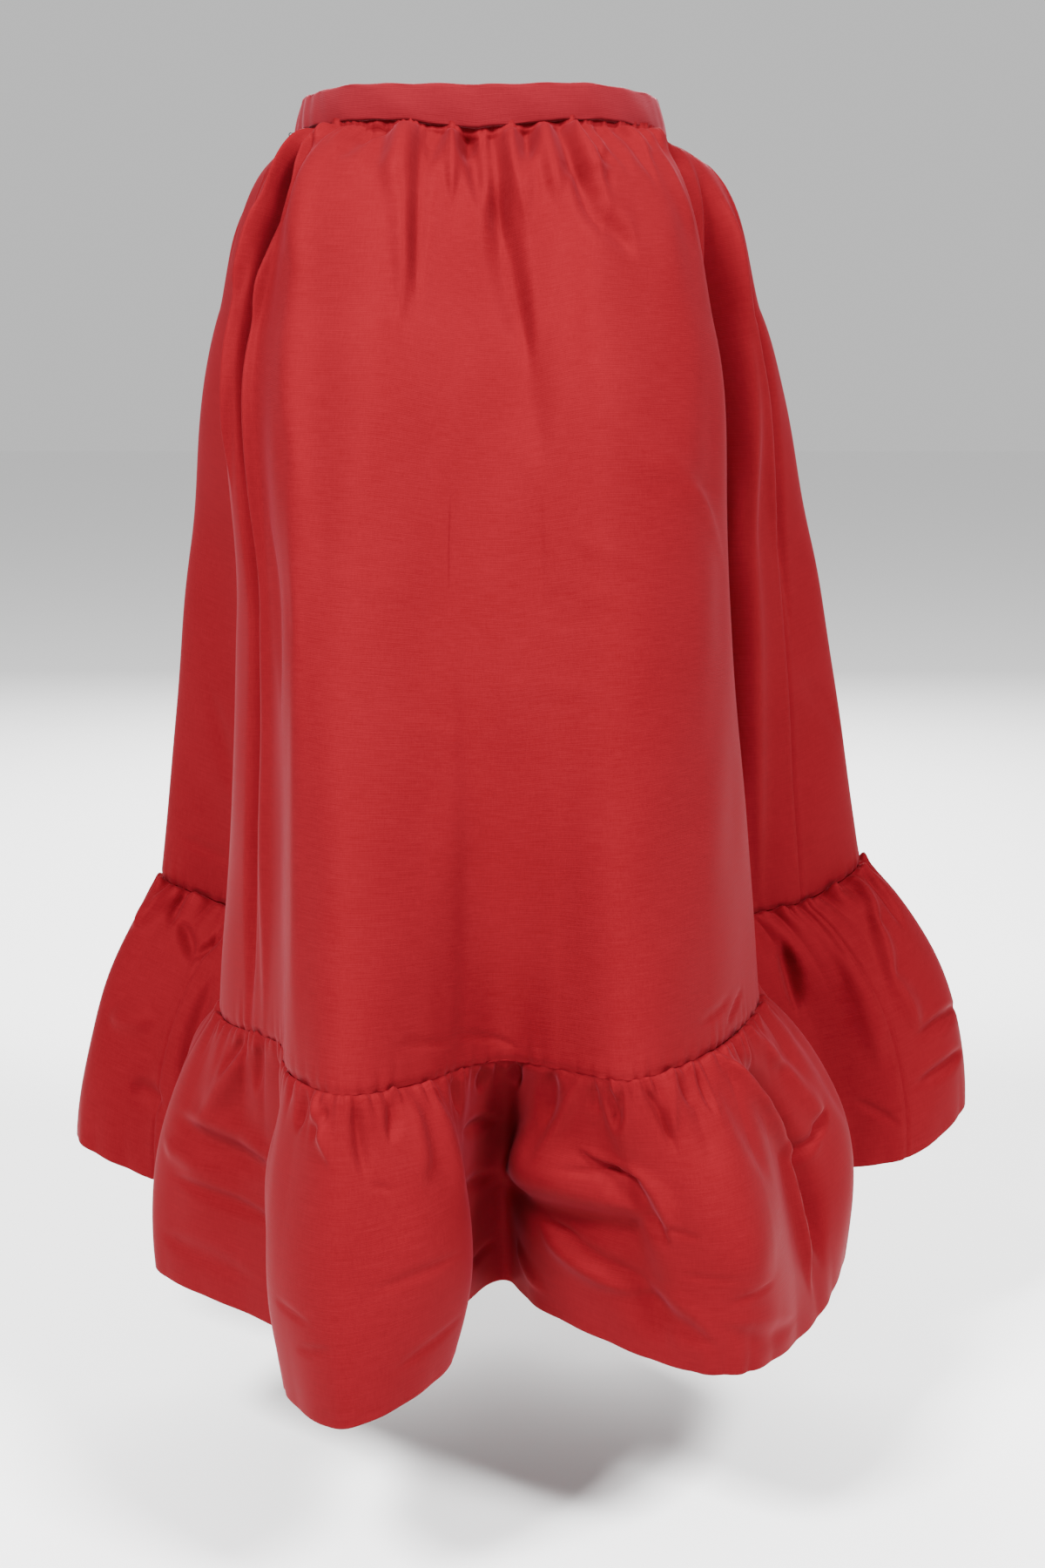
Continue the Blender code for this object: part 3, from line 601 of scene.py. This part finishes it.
SKIRT_CREASE_STRENGTH = 1.35
RUFFLE_CREASE_STRENGTH = 2.1

WAIST_GATHERS = Gathers(58, 11, 1.3 * MM, 22.0 * MM)
WAIST_PUCKERS = Gathers(132, 12, 1.5 * MM, 8.0 * MM)
SOFT_FOLDS = Gathers(25, 13, 0.35 * MM, 120.0 * MM, sharpness=1.2)
LOWER_PUCKERS = Gathers(190, 14, 0.7 * MM, 11.0 * MM)
RUFFLE_GATHERS = Gathers(104, 21, 3.2 * MM, 30.0 * MM)
RUFFLE_PUCKERS = Gathers(210, 22, 2.1 * MM, 11.0 * MM)
RUFFLE_SOFT = Gathers(50, 23, 1.9 * MM, 90.0 * MM, sharpness=1.2)
HEM_RIPPLES = Gathers(96, 24, 0.8 * MM, 26.0 * MM, sharpness=1.4)

# Broad, shallow unevenness: waves round the cloth, metres from one to the next down it, their height, and
# the seed of their places
Waves = namedtuple("Waves", "turns steps height seed")
SKIRT_WAVES = Waves((9, 14, 23), (0.31, 0.23, 0.17), 0.5 * MM, 31)
RUFFLE_WAVES = Waves((11, 19, 27), (0.21, 0.15, 0.12), 0.6 * MM, 32)
WAVE_LEAN = 9.0
WAVE_BEND = 3.0


def slow_waves(at, along, waves):
    chance = np.random.default_rng(waves.seed)
    full = 2 * math.pi
    total = np.zeros((len(along), len(at)))
    for turn, step in zip(waves.turns, waves.steps):
        phase = chance.uniform(0.0, full, 2)
        lean = along[:, None] * chance.uniform(-WAVE_LEAN, WAVE_LEAN)
        bend = WAVE_BEND * np.sin(full * at)[None]
        round_it = np.sin(full * turn * at[None] + phase[0] + lean)
        total += round_it * np.cos(full * along[:, None] / step + phase[1] + bend)
    return waves.height * total


# Groove down each side seam, and the puckered cloth beside it
SEAM_GROOVE = 1.0 * MM
SEAM_GROOVE_WIDTH = 2.2 * MM
SEAM_PUCKER = 17.0 * MM
SEAM_PUCKER_HEIGHT = 0.5 * MM
SEAM_PUCKER_WIDTH = 3.0 * MM
SEAM_PUCKER_SWING = 0.4
SEAM_PUCKER_DRIFT = 2.0
SEAM_PUCKER_DRIFT_TURN = 40.0


def side_seam_rise(at, along, round_length):
    total = np.zeros((len(along), len(at)))
    drift = SEAM_PUCKER_DRIFT * np.sin(along * SEAM_PUCKER_DRIFT_TURN)
    swing = SEAM_PUCKER_SWING * np.sin(along * 2 * math.pi / SEAM_PUCKER + drift)
    pucker = (1.0 - SEAM_PUCKER_SWING + swing)[:, None]
    for seam in (LEFT_SEAM, RIGHT_SEAM):
        aside = np.abs(wrapped(at - seam)) * round_length
        total -= SEAM_GROOVE * fading(aside, SEAM_GROOVE_WIDTH).T
        total += SEAM_PUCKER_HEIGHT * pucker * fading(aside - SEAM_PUCKER_WIDTH, SEAM_PUCKER_WIDTH).T
    return total


# Dips along the seam, and loops of cloth that stand over it
SKIRT_SEAM_DIP = 1.6 * MM
RUFFLE_SEAM_DIP = 1.2 * MM
SEAM_DIP_REACH = 4.0 * MM
LOOP_LIFT = 1.4
LOOP_MIDDLE = 4.0 * MM
LOOP_REACH = 3.0 * MM

# Near the waist the ring is narrow, so creases are wider there for their share, and deeper
NARROW_WAIST = 2.3
WAIST_DEEPER = 0.7
NARROW_REACH = 120.0 * MM

# Cloth that stands up over the waistband's lower edge, left of the middle
HUMP_SHARE = 0.917
HUMP_WIDTH = 0.0045
HUMP_REACH = 7.0 * MM
HUMP_OUT = 1.6 * MM
HUMP_UP = 3.6 * MM

# Line of the waistband after the photo: how far its edges rise and how much it narrows upwards
BAND_TOP_LIFT = 3.0 * MM
BAND_LOW_LIFT = 8.0 * MM
BAND_TAPER = 6.0 * MM
LIFT_REACH = 40.0 * MM
LIFT_RISE = 2.3
LIFT_FALL = 1.6
LIFT_DIP = 0.35


def waist_lift(side, ahead):
    # Lowest at the middle of the front, highest on either hand and a little lower at the sides and behind.
    turned = np.abs(side)
    return np.where(ahead > 0, turned * (LIFT_RISE - LIFT_FALL * turned**2), LIFT_RISE - LIFT_FALL) - LIFT_DIP


def skirt_cloth():
    # The skirt's cloth with its gathers and creases, all the way round.
    at = ring_columns(FRONT_COLUMNS, BACK_COLUMNS)
    along = graded_rows(SKIRT_LENGTH, finest=1.0 * MM, growth=0.08, coarsest=6.0 * MM)
    below = SKIRT_LENGTH - along
    surface = skirt_form(at, along)
    hang = waist_bearing(at) / 360.0
    rise = WAIST_GATHERS.rise(hang, along, drift=3.0) + WAIST_PUCKERS.rise(hang, along, drift=6.0)
    rise *= growing(along, least=0.35, reach=9 * MM)
    rise += SOFT_FOLDS.rise(hang, along, drift=1.0) * growing(along, least=0.0, reach=50 * MM)
    rise += LOWER_PUCKERS.rise(at, below)
    rise -= SKIRT_SEAM_DIP * fading(below, SEAM_DIP_REACH)
    waist = np.exp(-along / NARROW_REACH)[:, None]
    held = growing(along, least=0.4, reach=5 * MM) * (1.0 + WAIST_DEEPER * waist)
    creases = crease_rise(SKIRT_CREASES, at, along, SEAM_ROUND, 1.0 + NARROW_WAIST * waist)
    rise += SKIRT_CREASE_STRENGTH * creases * held
    rise += side_seam_rise(at, along, SEAM_ROUND)
    rise += slow_waves(at, along, SKIRT_WAVES) * growing(along, least=0.0, reach=90 * MM)
    surface = surface + outward(surface) * rise[..., None]
    hump = np.exp(-((wrapped(at - HUMP_SHARE) / HUMP_WIDTH) ** 4))[None] * fading(along, HUMP_REACH)
    surface = surface + level_directions(surface) * (HUMP_OUT * hump)[..., None]
    surface[..., 2] += HUMP_UP * hump
    edge = unit(surface[0, :, :2])
    surface[..., 2] += BAND_LOW_LIFT * waist_lift(edge[:, 0], -edge[:, 1]) * fading(along, LIFT_REACH)
    tucked = surface[:1] + np.array([0.0, 0.0, TUCK])
    return at, np.concatenate([[-TUCK], along]), np.concatenate([tucked, surface])


# The turned hem: its fold, and the lengths up the inside that its rows lie at
FOLD_RADIUS = 0.8 * MM
FOLD_ANGLES = (60, 120, 180)
HEM_LENGTHS = (4.0 * MM, 10.0 * MM, 22.0 * MM)


def ruffle_cloth():
    # The ruffle's cloth with its gathers, creases and turned hem, all the way round.
    at = ring_columns(RUFFLE_FRONT_COLUMNS, RUFFLE_BACK_COLUMNS)
    along = graded_rows(RUFFLE_LENGTH, finest=0.9 * MM, growth=0.06, coarsest=2.7 * MM)
    surface = ruffle_form(at, along)
    rise = RUFFLE_GATHERS.rise(at, along, drift=2.0) + RUFFLE_PUCKERS.rise(at, along, drift=5.0)
    rise *= growing(along, least=0.3, reach=10 * MM)
    rise += RUFFLE_SOFT.rise(at, along, drift=1.0) * growing(along, least=0.0, reach=40 * MM)
    rise += HEM_RIPPLES.rise(at, RUFFLE_LENGTH - along)
    rise -= RUFFLE_SEAM_DIP * fading(along, SEAM_DIP_REACH)
    rise += RUFFLE_CREASE_STRENGTH * crease_rise(RUFFLE_CREASES, at, along, HEM_ROUND)
    rise += side_seam_rise(at, along, HEM_ROUND)
    rise += slow_waves(at, along, RUFFLE_WAVES) * growing(along, least=0.0, reach=50 * MM)
    surface = surface + outward(surface) * rise[..., None]
    loops = np.maximum(RUFFLE_PUCKERS.rise(at, along) + RUFFLE_GATHERS.rise(at, along), 0.0)
    surface[..., 2] += LOOP_LIFT * loops * fading(along - LOOP_MIDDLE, LOOP_REACH)
    return at, *with_turned_hem(along, surface)


def with_turned_hem(along, surface):
    # The hem rolls round a small fold and runs back up on the inside.
    out = level_directions(surface)[-1]
    rows = [surface]
    lengths = list(along)
    for angle, up in [(angle, 0.0) for angle in FOLD_ANGLES] + [(180, up) for up in HEM_LENGTHS]:
        turn = math.radians(angle)
        inward = FOLD_RADIUS * (1 - math.cos(turn))
        down = np.array([0.0, 0.0, FOLD_RADIUS * math.sin(turn)])
        place = rows_at(surface, along, along[-1:] - up)
        rows.append(place - out * inward - down)
        lengths.append(along[-1] + FOLD_RADIUS * turn + up)
    return np.array(lengths), np.concatenate(rows)


def quads_between(upper, lower):
    # Four-cornered faces from rows of point numbers and the rows below them.
    corners = [upper[:, :-1], lower[:, :-1], lower[:, 1:], upper[:, 1:]]
    return np.stack(corners, axis=2).reshape(-1, 4).tolist()


def laid_flat(sideways, down):
    # Where each point lies on the cloth before it was gathered, in metres.
    return np.stack(np.broadcast_arrays(sideways, down[:, None]), axis=2).reshape(-1, 2)


def cloth_mesh(name, points, faces, layout, material):
    mesh = bpy.data.meshes.new(name)
    mesh.from_pydata(points.reshape(-1, 3).tolist(), [], faces)
    mesh.update()
    weave = mesh.uv_layers.new(name="weave")
    corners = np.empty(len(mesh.loops), int)
    mesh.loops.foreach_get("vertex_index", corners)
    weave.data.foreach_set("uv", layout[corners].reshape(-1))
    mesh.materials.append(material)
    mesh.polygons.foreach_set("use_smooth", [True] * len(mesh.polygons))
    piece = bpy.data.objects.new(name, mesh)
    bpy.context.scene.collection.objects.link(piece)
    return piece


def cloth_piece(name, cloth, first, count, round_length, material):
    # One panel of cloth out of the ring, both its side edges included.
    at, along, surface = cloth
    columns = [(first + number) % len(at) for number in range(count + 1)]
    points = surface[:, columns]
    index = np.arange(points.shape[0] * points.shape[1]).reshape(points.shape[:2])
    sideways = np.mod(at[columns] - at[first], 1.0) * round_length
    layout = laid_flat(sideways, along)
    return cloth_mesh(name, points, quads_between(index[:-1], index[1:]), layout, material)


BAND_COLUMNS = 720
BAND_SIDE_ROWS = 16
BAND_ROLL_ANGLES = (30, 60, 90, 120, 150)
BAND_EDGE_RADIUS = 1.1 * MM
BAND_CLOTH_HEIGHT = 28.4 * MM
BAND_FLAT = (0.77, 0.031)
BAND_ROW_STEP = 1.6 * MM

# Waves along the band's edges and on its faces: their height, how many go round the waist, where they
# start, and how they lean from edge to edge
Ripple = namedtuple("Ripple", "height turns start lean", defaults=(0.0, 0.0))
TOP_WAVE = Ripple(0.7 * MM, 7.0, 0.6)
TOP_WAVE_CHANGE = Ripple(1.0, 2.5)
TOP_FINE_WAVE = Ripple(0.35 * MM, 23.0)
LOW_WAVE = Ripple(0.35 * MM, 11.0, 1.0)
LOW_FINE_WAVE = Ripple(0.25 * MM, 31.0)
BAND_RIPPLE = Ripple(0.25 * MM, 17.0, 0.0, 2.0)
BAND_FOLD = Ripple(0.9 * MM, 44.0, math.pi / 2, 1.4)

# Where the band's small folds are, in degrees: near its ends, and weaker at the other side
END_FOLDS_REACH = 26.0
SIDE_FOLDS_BEARING = 455.0
SIDE_FOLDS_REACH = 20.0
SIDE_FOLDS_SHARE = 0.55


def wave(ripple, turn, level=0.0):
    return ripple.height * np.sin(turn * ripple.turns + ripple.start + ripple.lean * level)


def band_section():
    # Points round the doubled strip: depth from 0 outside to 1 inside, level from 1 at the top to -1 below,
    # and whether the point lies on a flat face or on a rolled edge.
    section = []
    for side, way in ((0.0, 1.0), (1.0, -1.0)):
        for number in range(BAND_SIDE_ROWS + 1):
            section.append((side, way * (1.0 - 2.0 * number / BAND_SIDE_ROWS), 1.0))
        for angle in BAND_ROLL_ANGLES:
            section.append(((1.0 - way * math.cos(math.radians(angle))) / 2, -way, 0.0))
    return section


def band_cloth(material):
    # A doubled strip round the waist with rounded edges, its ends meeting at the left side.
    half_gap = math.degrees(SEAM_GAP / BAND_HALF_DEPTH) / 2
    first = BAND_OPENING_BEARING + half_gap
    bearing = np.linspace(first, BAND_OPENING_BEARING + 360.0 - half_gap, BAND_COLUMNS + 1)
    turn = np.radians(bearing)
    raised = waist_lift(np.sin(turn), np.cos(turn))
    top_wave = wave(TOP_WAVE, turn) * wave(TOP_WAVE_CHANGE, turn) + wave(TOP_FINE_WAVE, turn)
    low_wave = wave(LOW_WAVE, turn) + wave(LOW_FINE_WAVE, turn)
    ends = np.minimum(bearing - bearing[0], bearing[-1] - bearing)
    other_side = fading(bearing - SIDE_FOLDS_BEARING, SIDE_FOLDS_REACH)[:, 0]
    folded = fading(ends, END_FOLDS_REACH)[:, 0] + SIDE_FOLDS_SHARE * other_side
    rings = []
    for depth, level, flat in band_section():
        upper = (level + 1) / 2
        roll = math.copysign(BAND_EDGE_RADIUS * math.sin(math.pi * depth), level)
        height = level * (BAND_CLOTH_HEIGHT / 2 - BAND_EDGE_RADIUS) + roll
        height = height + (top_wave if level > 0 else low_wave) * abs(level)
        height = height + (BAND_HEIGHT - BAND_CLOTH_HEIGHT) / 2
        height = height + (BAND_LOW_LIFT + (BAND_TOP_LIFT - BAND_LOW_LIFT) * upper) * raised
        bulge = BAND_BULGE * (1 - level**2)
        inset = (wave(BAND_RIPPLE, turn, level) + folded * wave(BAND_FOLD, turn, level) - bulge) * flat
        inset = inset + depth * BAND_WALL + BAND_TAPER * upper * np.sin(turn) ** 2
        rings.append(band_point(bearing, inset, height))
    points = np.stack(rings)
    index = np.arange(points.shape[0] * points.shape[1]).reshape(points.shape[:2])
    faces = quads_between(index, np.roll(index, -1, axis=0))
    faces.append(index[::-1, 0].tolist())
    faces.append(index[:, -1].tolist())
    layout = laid_flat((bearing - first) / 360.0 * BAND_FLAT[0], np.arange(len(rings)) * BAND_ROW_STEP)
    return cloth_mesh("waistband_cloth", points, faces, layout, material)


# Heights of each stitch in millimetres, at the hook and at the waistband's lower corner
Stitch = namedtuple("Stitch", "outer_z inner_z")
STITCHES = [
    Stitch(-10.6, -8.4),
    Stitch(-11.5, -9.5),
    Stitch(-12.4, -10.7),
]
THREAD_STEPS = 24
THREAD_SIDES = 6
THREAD_RADIUS = 0.16 * MM
THREAD_HALF_ACROSS = 0.62 * MM
THREAD_OUTER_X = -142.9 * MM
THREAD_INNER_X = -137.4 * MM


def thread_loops(material):
    # Stitches from the waistband's lower corner round the foot of the hook, each a thin closed ring.
    turns = np.linspace(0.0, 2 * math.pi, THREAD_STEPS, endpoint=False)
    sides = np.linspace(0.0, 2 * math.pi, THREAD_SIDES, endpoint=False)[:, None]
    inward = (np.cos(turns) + 1) / 2
    loops = []
    faces = []
    for number, stitch in enumerate(STITCHES):
        across = THREAD_OUTER_X + (THREAD_INNER_X - THREAD_OUTER_X) * inward
        height = (stitch.outer_z + (stitch.inner_z - stitch.outer_z) * inward) * MM
        path = np.stack([across, THREAD_HALF_ACROSS * np.sin(turns), height], axis=1)
        ahead = unit(np.roll(path, -1, axis=0) - np.roll(path, 1, axis=0))
        upward = unit(np.cross(ahead, np.cross([0.0, 0.0, 1.0], ahead)))
        aside = np.cross(ahead, upward)
        spokes = np.cos(sides) * upward[:, None] + np.sin(sides) * aside[:, None]
        loops.append(path[:, None] + THREAD_RADIUS * spokes)
        index = np.arange(THREAD_STEPS * THREAD_SIDES).reshape(THREAD_STEPS, THREAD_SIDES)
        index = index + number * THREAD_STEPS * THREAD_SIDES
        after = np.roll(index, -1, axis=1)
        corners = [index, after, np.roll(after, -1, axis=0), np.roll(index, -1, axis=0)]
        faces += np.stack(corners, axis=2).reshape(-1, 4).tolist()
    points = np.stack(loops).reshape(-1, 3)
    return cloth_mesh("hook_thread", points, faces, points[:, [0, 2]], material)


def plug(sockets, values):
    # Gives each socket its value, or links its wire to it.
    for name, value in values.items():
        if isinstance(value, Wire):
            value.tree.links.new(value.socket, sockets[name])
        else:
            sockets[name].default_value = value


def add_node(tree, kind, settings, values, output=0):
    # A node with its settings, then the values or wires of its sockets, as a wire from one output.
    node = tree.nodes.new(kind)
    for name, value in settings.items():
        setattr(node, name, value)
    plug(node.inputs, values)
    return Wire(tree, node.outputs[output])


class Wire:
    # A node's socket that takes part in sums.
    def __init__(self, tree, socket):
        self.tree = tree
        self.socket = socket

    def maths(self, operation, *values):
        return add_node(self.tree, "ShaderNodeMath", {"operation": operation}, dict(enumerate(values)))

    def __add__(self, other):
        return self.maths("ADD", self, other)

    def __radd__(self, other):
        return self.maths("ADD", other, self)

    def __sub__(self, other):
        return self.maths("SUBTRACT", self, other)

    def __rsub__(self, other):
        return self.maths("SUBTRACT", other, self)

    def __mul__(self, other):
        return self.maths("MULTIPLY", self, other)

    def __rmul__(self, other):
        return self.maths("MULTIPLY", other, self)

    def sine(self):
        return self.maths("SINE", self)


def new_finish(name):
    # A material, its nodes and its shader's sockets.
    material = bpy.data.materials.new(name)
    material.use_nodes = True
    tree = material.node_tree
    return material, tree, tree.nodes["Principled BSDF"].inputs


def between_colours(tree, share, first, second):
    values = {0: share, 6: (*first, 1.0), 7: (*second, 1.0)}
    return add_node(tree, "ShaderNodeMix", {"data_type": "RGBA"}, values, 2)


# Metres across and down the cloth of each unevenness in it, how finely it is broken up, and how far it
# changes the tone, the height and the roughness
Grain = namedtuple("Grain", "across down detail tone height rough", defaults=(0.0, 0.0, 0.0))
DRIFT = Grain(0.05, 0.02, 2.0)
SLUBS = Grain(0.022, 0.0011, 3.0, 1.0, 1.5, 0.16)
THREADS = Grain(0.0012, 0.009, 2.0, 0.6, 0.5)
PATCHES = Grain(0.09, 0.06, 3.0, 0.5, 0.0, 0.1)
RIB_SPACING = 1.1 * MM
RIB_DRIFT = 9.0
RIB_TONE = 0.03
RIB_HEIGHT = 0.3
SILK_ROUGHNESS = 0.56

# The silk's colours: where the weave is light, where it is dark, and its sheen
Dye = namedtuple("Dye", "light dark sheen sheen_weight")
SKIRT_DYE = Dye((0.112, 0.0050, 0.0080), (0.082, 0.0028, 0.0046), (1.0, 0.22, 0.32), 0.07)
BAND_DYE = Dye((0.112, 0.0062, 0.0100), (0.084, 0.0040, 0.0066), (1.0, 0.4, 0.5), 0.26)
GLOSS_TINT = (1.0, 0.2, 0.26, 1.0)


def woven_noise(tree, place, grain):
    # Noise whose patches have the grain's size on the cloth.
    size = (1 / grain.across, 1 / grain.down, 1.0)
    scaled = add_node(tree, "ShaderNodeVectorMath", {"operation": "MULTIPLY"}, {0: place, 1: size})
    values = {"Vector": scaled, "Scale": 1.0, "Detail": grain.detail}
    return add_node(tree, "ShaderNodeTexNoise", {}, values, "Fac")


def silk(name, dye):
    # Ribbed silk with fine slubs across the cloth and a soft sheen.
    material, tree, shader = new_finish(name)
    place = add_node(tree, "ShaderNodeUVMap", {"uv_map": "weave"}, {}, "UV")
    down = add_node(tree, "ShaderNodeSeparateXYZ", {}, {0: place}, "Y")
    ribs = (down * (2 * math.pi / RIB_SPACING) + woven_noise(tree, place, DRIFT) * RIB_DRIFT).sine()
    slubs = woven_noise(tree, place, SLUBS)
    threads = woven_noise(tree, place, THREADS)
    patches = woven_noise(tree, place, PATCHES)
    tone = 0.5 + (slubs - 0.5) * SLUBS.tone + (threads - 0.5) * THREADS.tone
    tone = tone + (patches - 0.5) * PATCHES.tone + ribs * RIB_TONE
    rough = SILK_ROUGHNESS + (slubs - 0.5) * SLUBS.rough + (patches - 0.5) * PATCHES.rough
    height = ribs * RIB_HEIGHT + slubs * SLUBS.height + threads * THREADS.height
    bump = {"Strength": 0.25, "Distance": 0.3 * MM, "Height": height}
    plug(
        shader,
        {
            "Base Color": between_colours(tree, tone, dye.dark, dye.light),
            "Roughness": rough,
            "Normal": add_node(tree, "ShaderNodeBump", {}, bump),
            "Metallic": 0.1,
            "IOR": 1.45,
            "Specular IOR Level": 0.02,
            "Specular Tint": GLOSS_TINT,
            "Sheen Weight": dye.sheen_weight,
            "Sheen Roughness": 0.38,
            "Sheen Tint": (*dye.sheen, 1.0),
        },
    )
    return material


def spotted(name, coordinates, scale, detail, first, second, values):
    # A hard finish whose colour wanders between two, with the shader's other values.
    material, tree, shader = new_finish(name)
    place = add_node(tree, "ShaderNodeTexCoord", {}, {}, coordinates)
    noise = {"Vector": place, "Scale": scale, "Detail": detail}
    spots = add_node(tree, "ShaderNodeTexNoise", {}, noise, "Fac")
    plug(shader, {"Base Color": between_colours(tree, spots, first, second)} | values)
    return material


def dark_wire():
    values = {"Metallic": 0.2, "Specular IOR Level": 0.3, "Roughness": 0.5}
    return spotted("dark_wire", "Object", 900.0, 3.0, (0.012, 0.011, 0.012), (0.04, 0.038, 0.036), values)


FLOOR_HEIGHT = -1.04
FLOOR_HALF = 30.0


def floor_plane():
    # A pale floor under the skirt.
    mesh = bpy.data.meshes.new("floor")
    corners = [(side * FLOOR_HALF, back * FLOOR_HALF) for side, back in ((-1, -1), (1, -1), (1, 1), (-1, 1))]
    mesh.from_pydata([(*corner, FLOOR_HEIGHT) for corner in corners], [], [[0, 1, 2, 3]])
    paint = spotted("floor_paint", "Generated", 4.0, 2.0, (0.93,) * 3, (0.95,) * 3, {"Roughness": 0.8})
    mesh.materials.append(paint)
    floor = bpy.data.objects.new("floor", mesh)
    bpy.context.scene.collection.objects.link(floor)


# Width and height of each lamp in metres, its power in watts, and where it stands
Lamp = namedtuple("Lamp", "name width height power x y z")
LAMPS = [
    Lamp("left_key", 0.9, 0.9, 520.0, -1.6, -2.3, 2.4),
    Lamp("right_key", 0.9, 0.9, 430.0, 1.9, -2.1, 2.4),
    Lamp("back", 2.0, 2.0, 300.0, 0.0, 3.4, 1.6),
]
AIM = (0.0, 0.0, -0.45)
ROOM_LIGHT = 0.7


def light_room():
    for lamp in LAMPS:
        light = bpy.data.lights.new(lamp.name, "AREA")
        light.shape = "RECTANGLE"
        light.size = lamp.width
        light.size_y = lamp.height
        light.energy = lamp.power
        shown = bpy.data.objects.new(lamp.name, light)
        shown.location = (lamp.x, lamp.y, lamp.z)
        aim = np.array(AIM) - np.array([lamp.x, lamp.y, lamp.z])
        yaw = math.atan2(aim[1], aim[0]) - math.pi / 2
        pitch = math.atan2(aim[2], math.hypot(aim[0], aim[1])) + math.pi / 2
        shown.rotation_euler = (pitch, 0.0, yaw)
        bpy.context.scene.collection.objects.link(shown)
    world = bpy.data.worlds.new("room")
    world.use_nodes = True
    plug(world.node_tree.nodes["Background"].inputs, {"Color": (1.0,) * 4, "Strength": ROOM_LIGHT})
    bpy.context.scene.world = world


CAMERA_PLACE = (0.031, -1.68, -0.196)
CAMERA_DOWN = 10.204
LENS = 50.0
SENSOR_WIDTH = 36.0


def place_camera():
    camera = bpy.data.cameras.new("camera")
    camera.lens = LENS
    camera.sensor_width = SENSOR_WIDTH
    shown = bpy.data.objects.new("camera", camera)
    shown.location = CAMERA_PLACE
    shown.rotation_euler = (math.radians(90.0 - CAMERA_DOWN), 0.0, 0.0)
    bpy.context.scene.collection.objects.link(shown)
    bpy.context.scene.camera = shown


# Each panel's node, first column and number of columns, its cut size and area in metres, and what holds it
Panel = namedtuple("Panel", "node first count flat area rests_on")
SKIRT_PANELS = [
    Panel("skirt_front", 0, FRONT_COLUMNS, (1.21, 0.67), 0.64, "waistband_cloth"),
    Panel("skirt_back", FRONT_COLUMNS, BACK_COLUMNS, (1.03, 0.67), 0.54, "waistband_cloth"),
]
RUFFLE_PANELS = [
    Panel("ruffle_front", 0, RUFFLE_FRONT_COLUMNS, (1.50, 0.26), None, "skirt_front_cloth"),
    Panel("ruffle_back", RUFFLE_FRONT_COLUMNS, RUFFLE_BACK_COLUMNS, (1.30, 0.26), None, "skirt_back_cloth"),
]


def hang_panels(cloth, panels, round_length, material):
    for panel in panels:
        name = panel.node + "_cloth"
        piece = cloth_piece(name, cloth, panel.first, panel.count, round_length, material)
        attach(piece, "root")
        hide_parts(panel.node)


def main():
    skirt_silk = silk("front_silk", SKIRT_DYE)
    hang_panels(skirt_cloth(), SKIRT_PANELS, SEAM_ROUND, skirt_silk)
    hang_panels(ruffle_cloth(), RUFFLE_PANELS, HEM_ROUND, skirt_silk)
    strip = band_cloth(silk("band_silk", BAND_DYE))
    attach(strip, "root")
    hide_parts("waistband")
    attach(thread_loops(skirt_silk), "root")
    bpy.data.objects["hook"].material_slots[0].material = dark_wire()
    floor_plane()
    light_room()
    place_camera()


main()
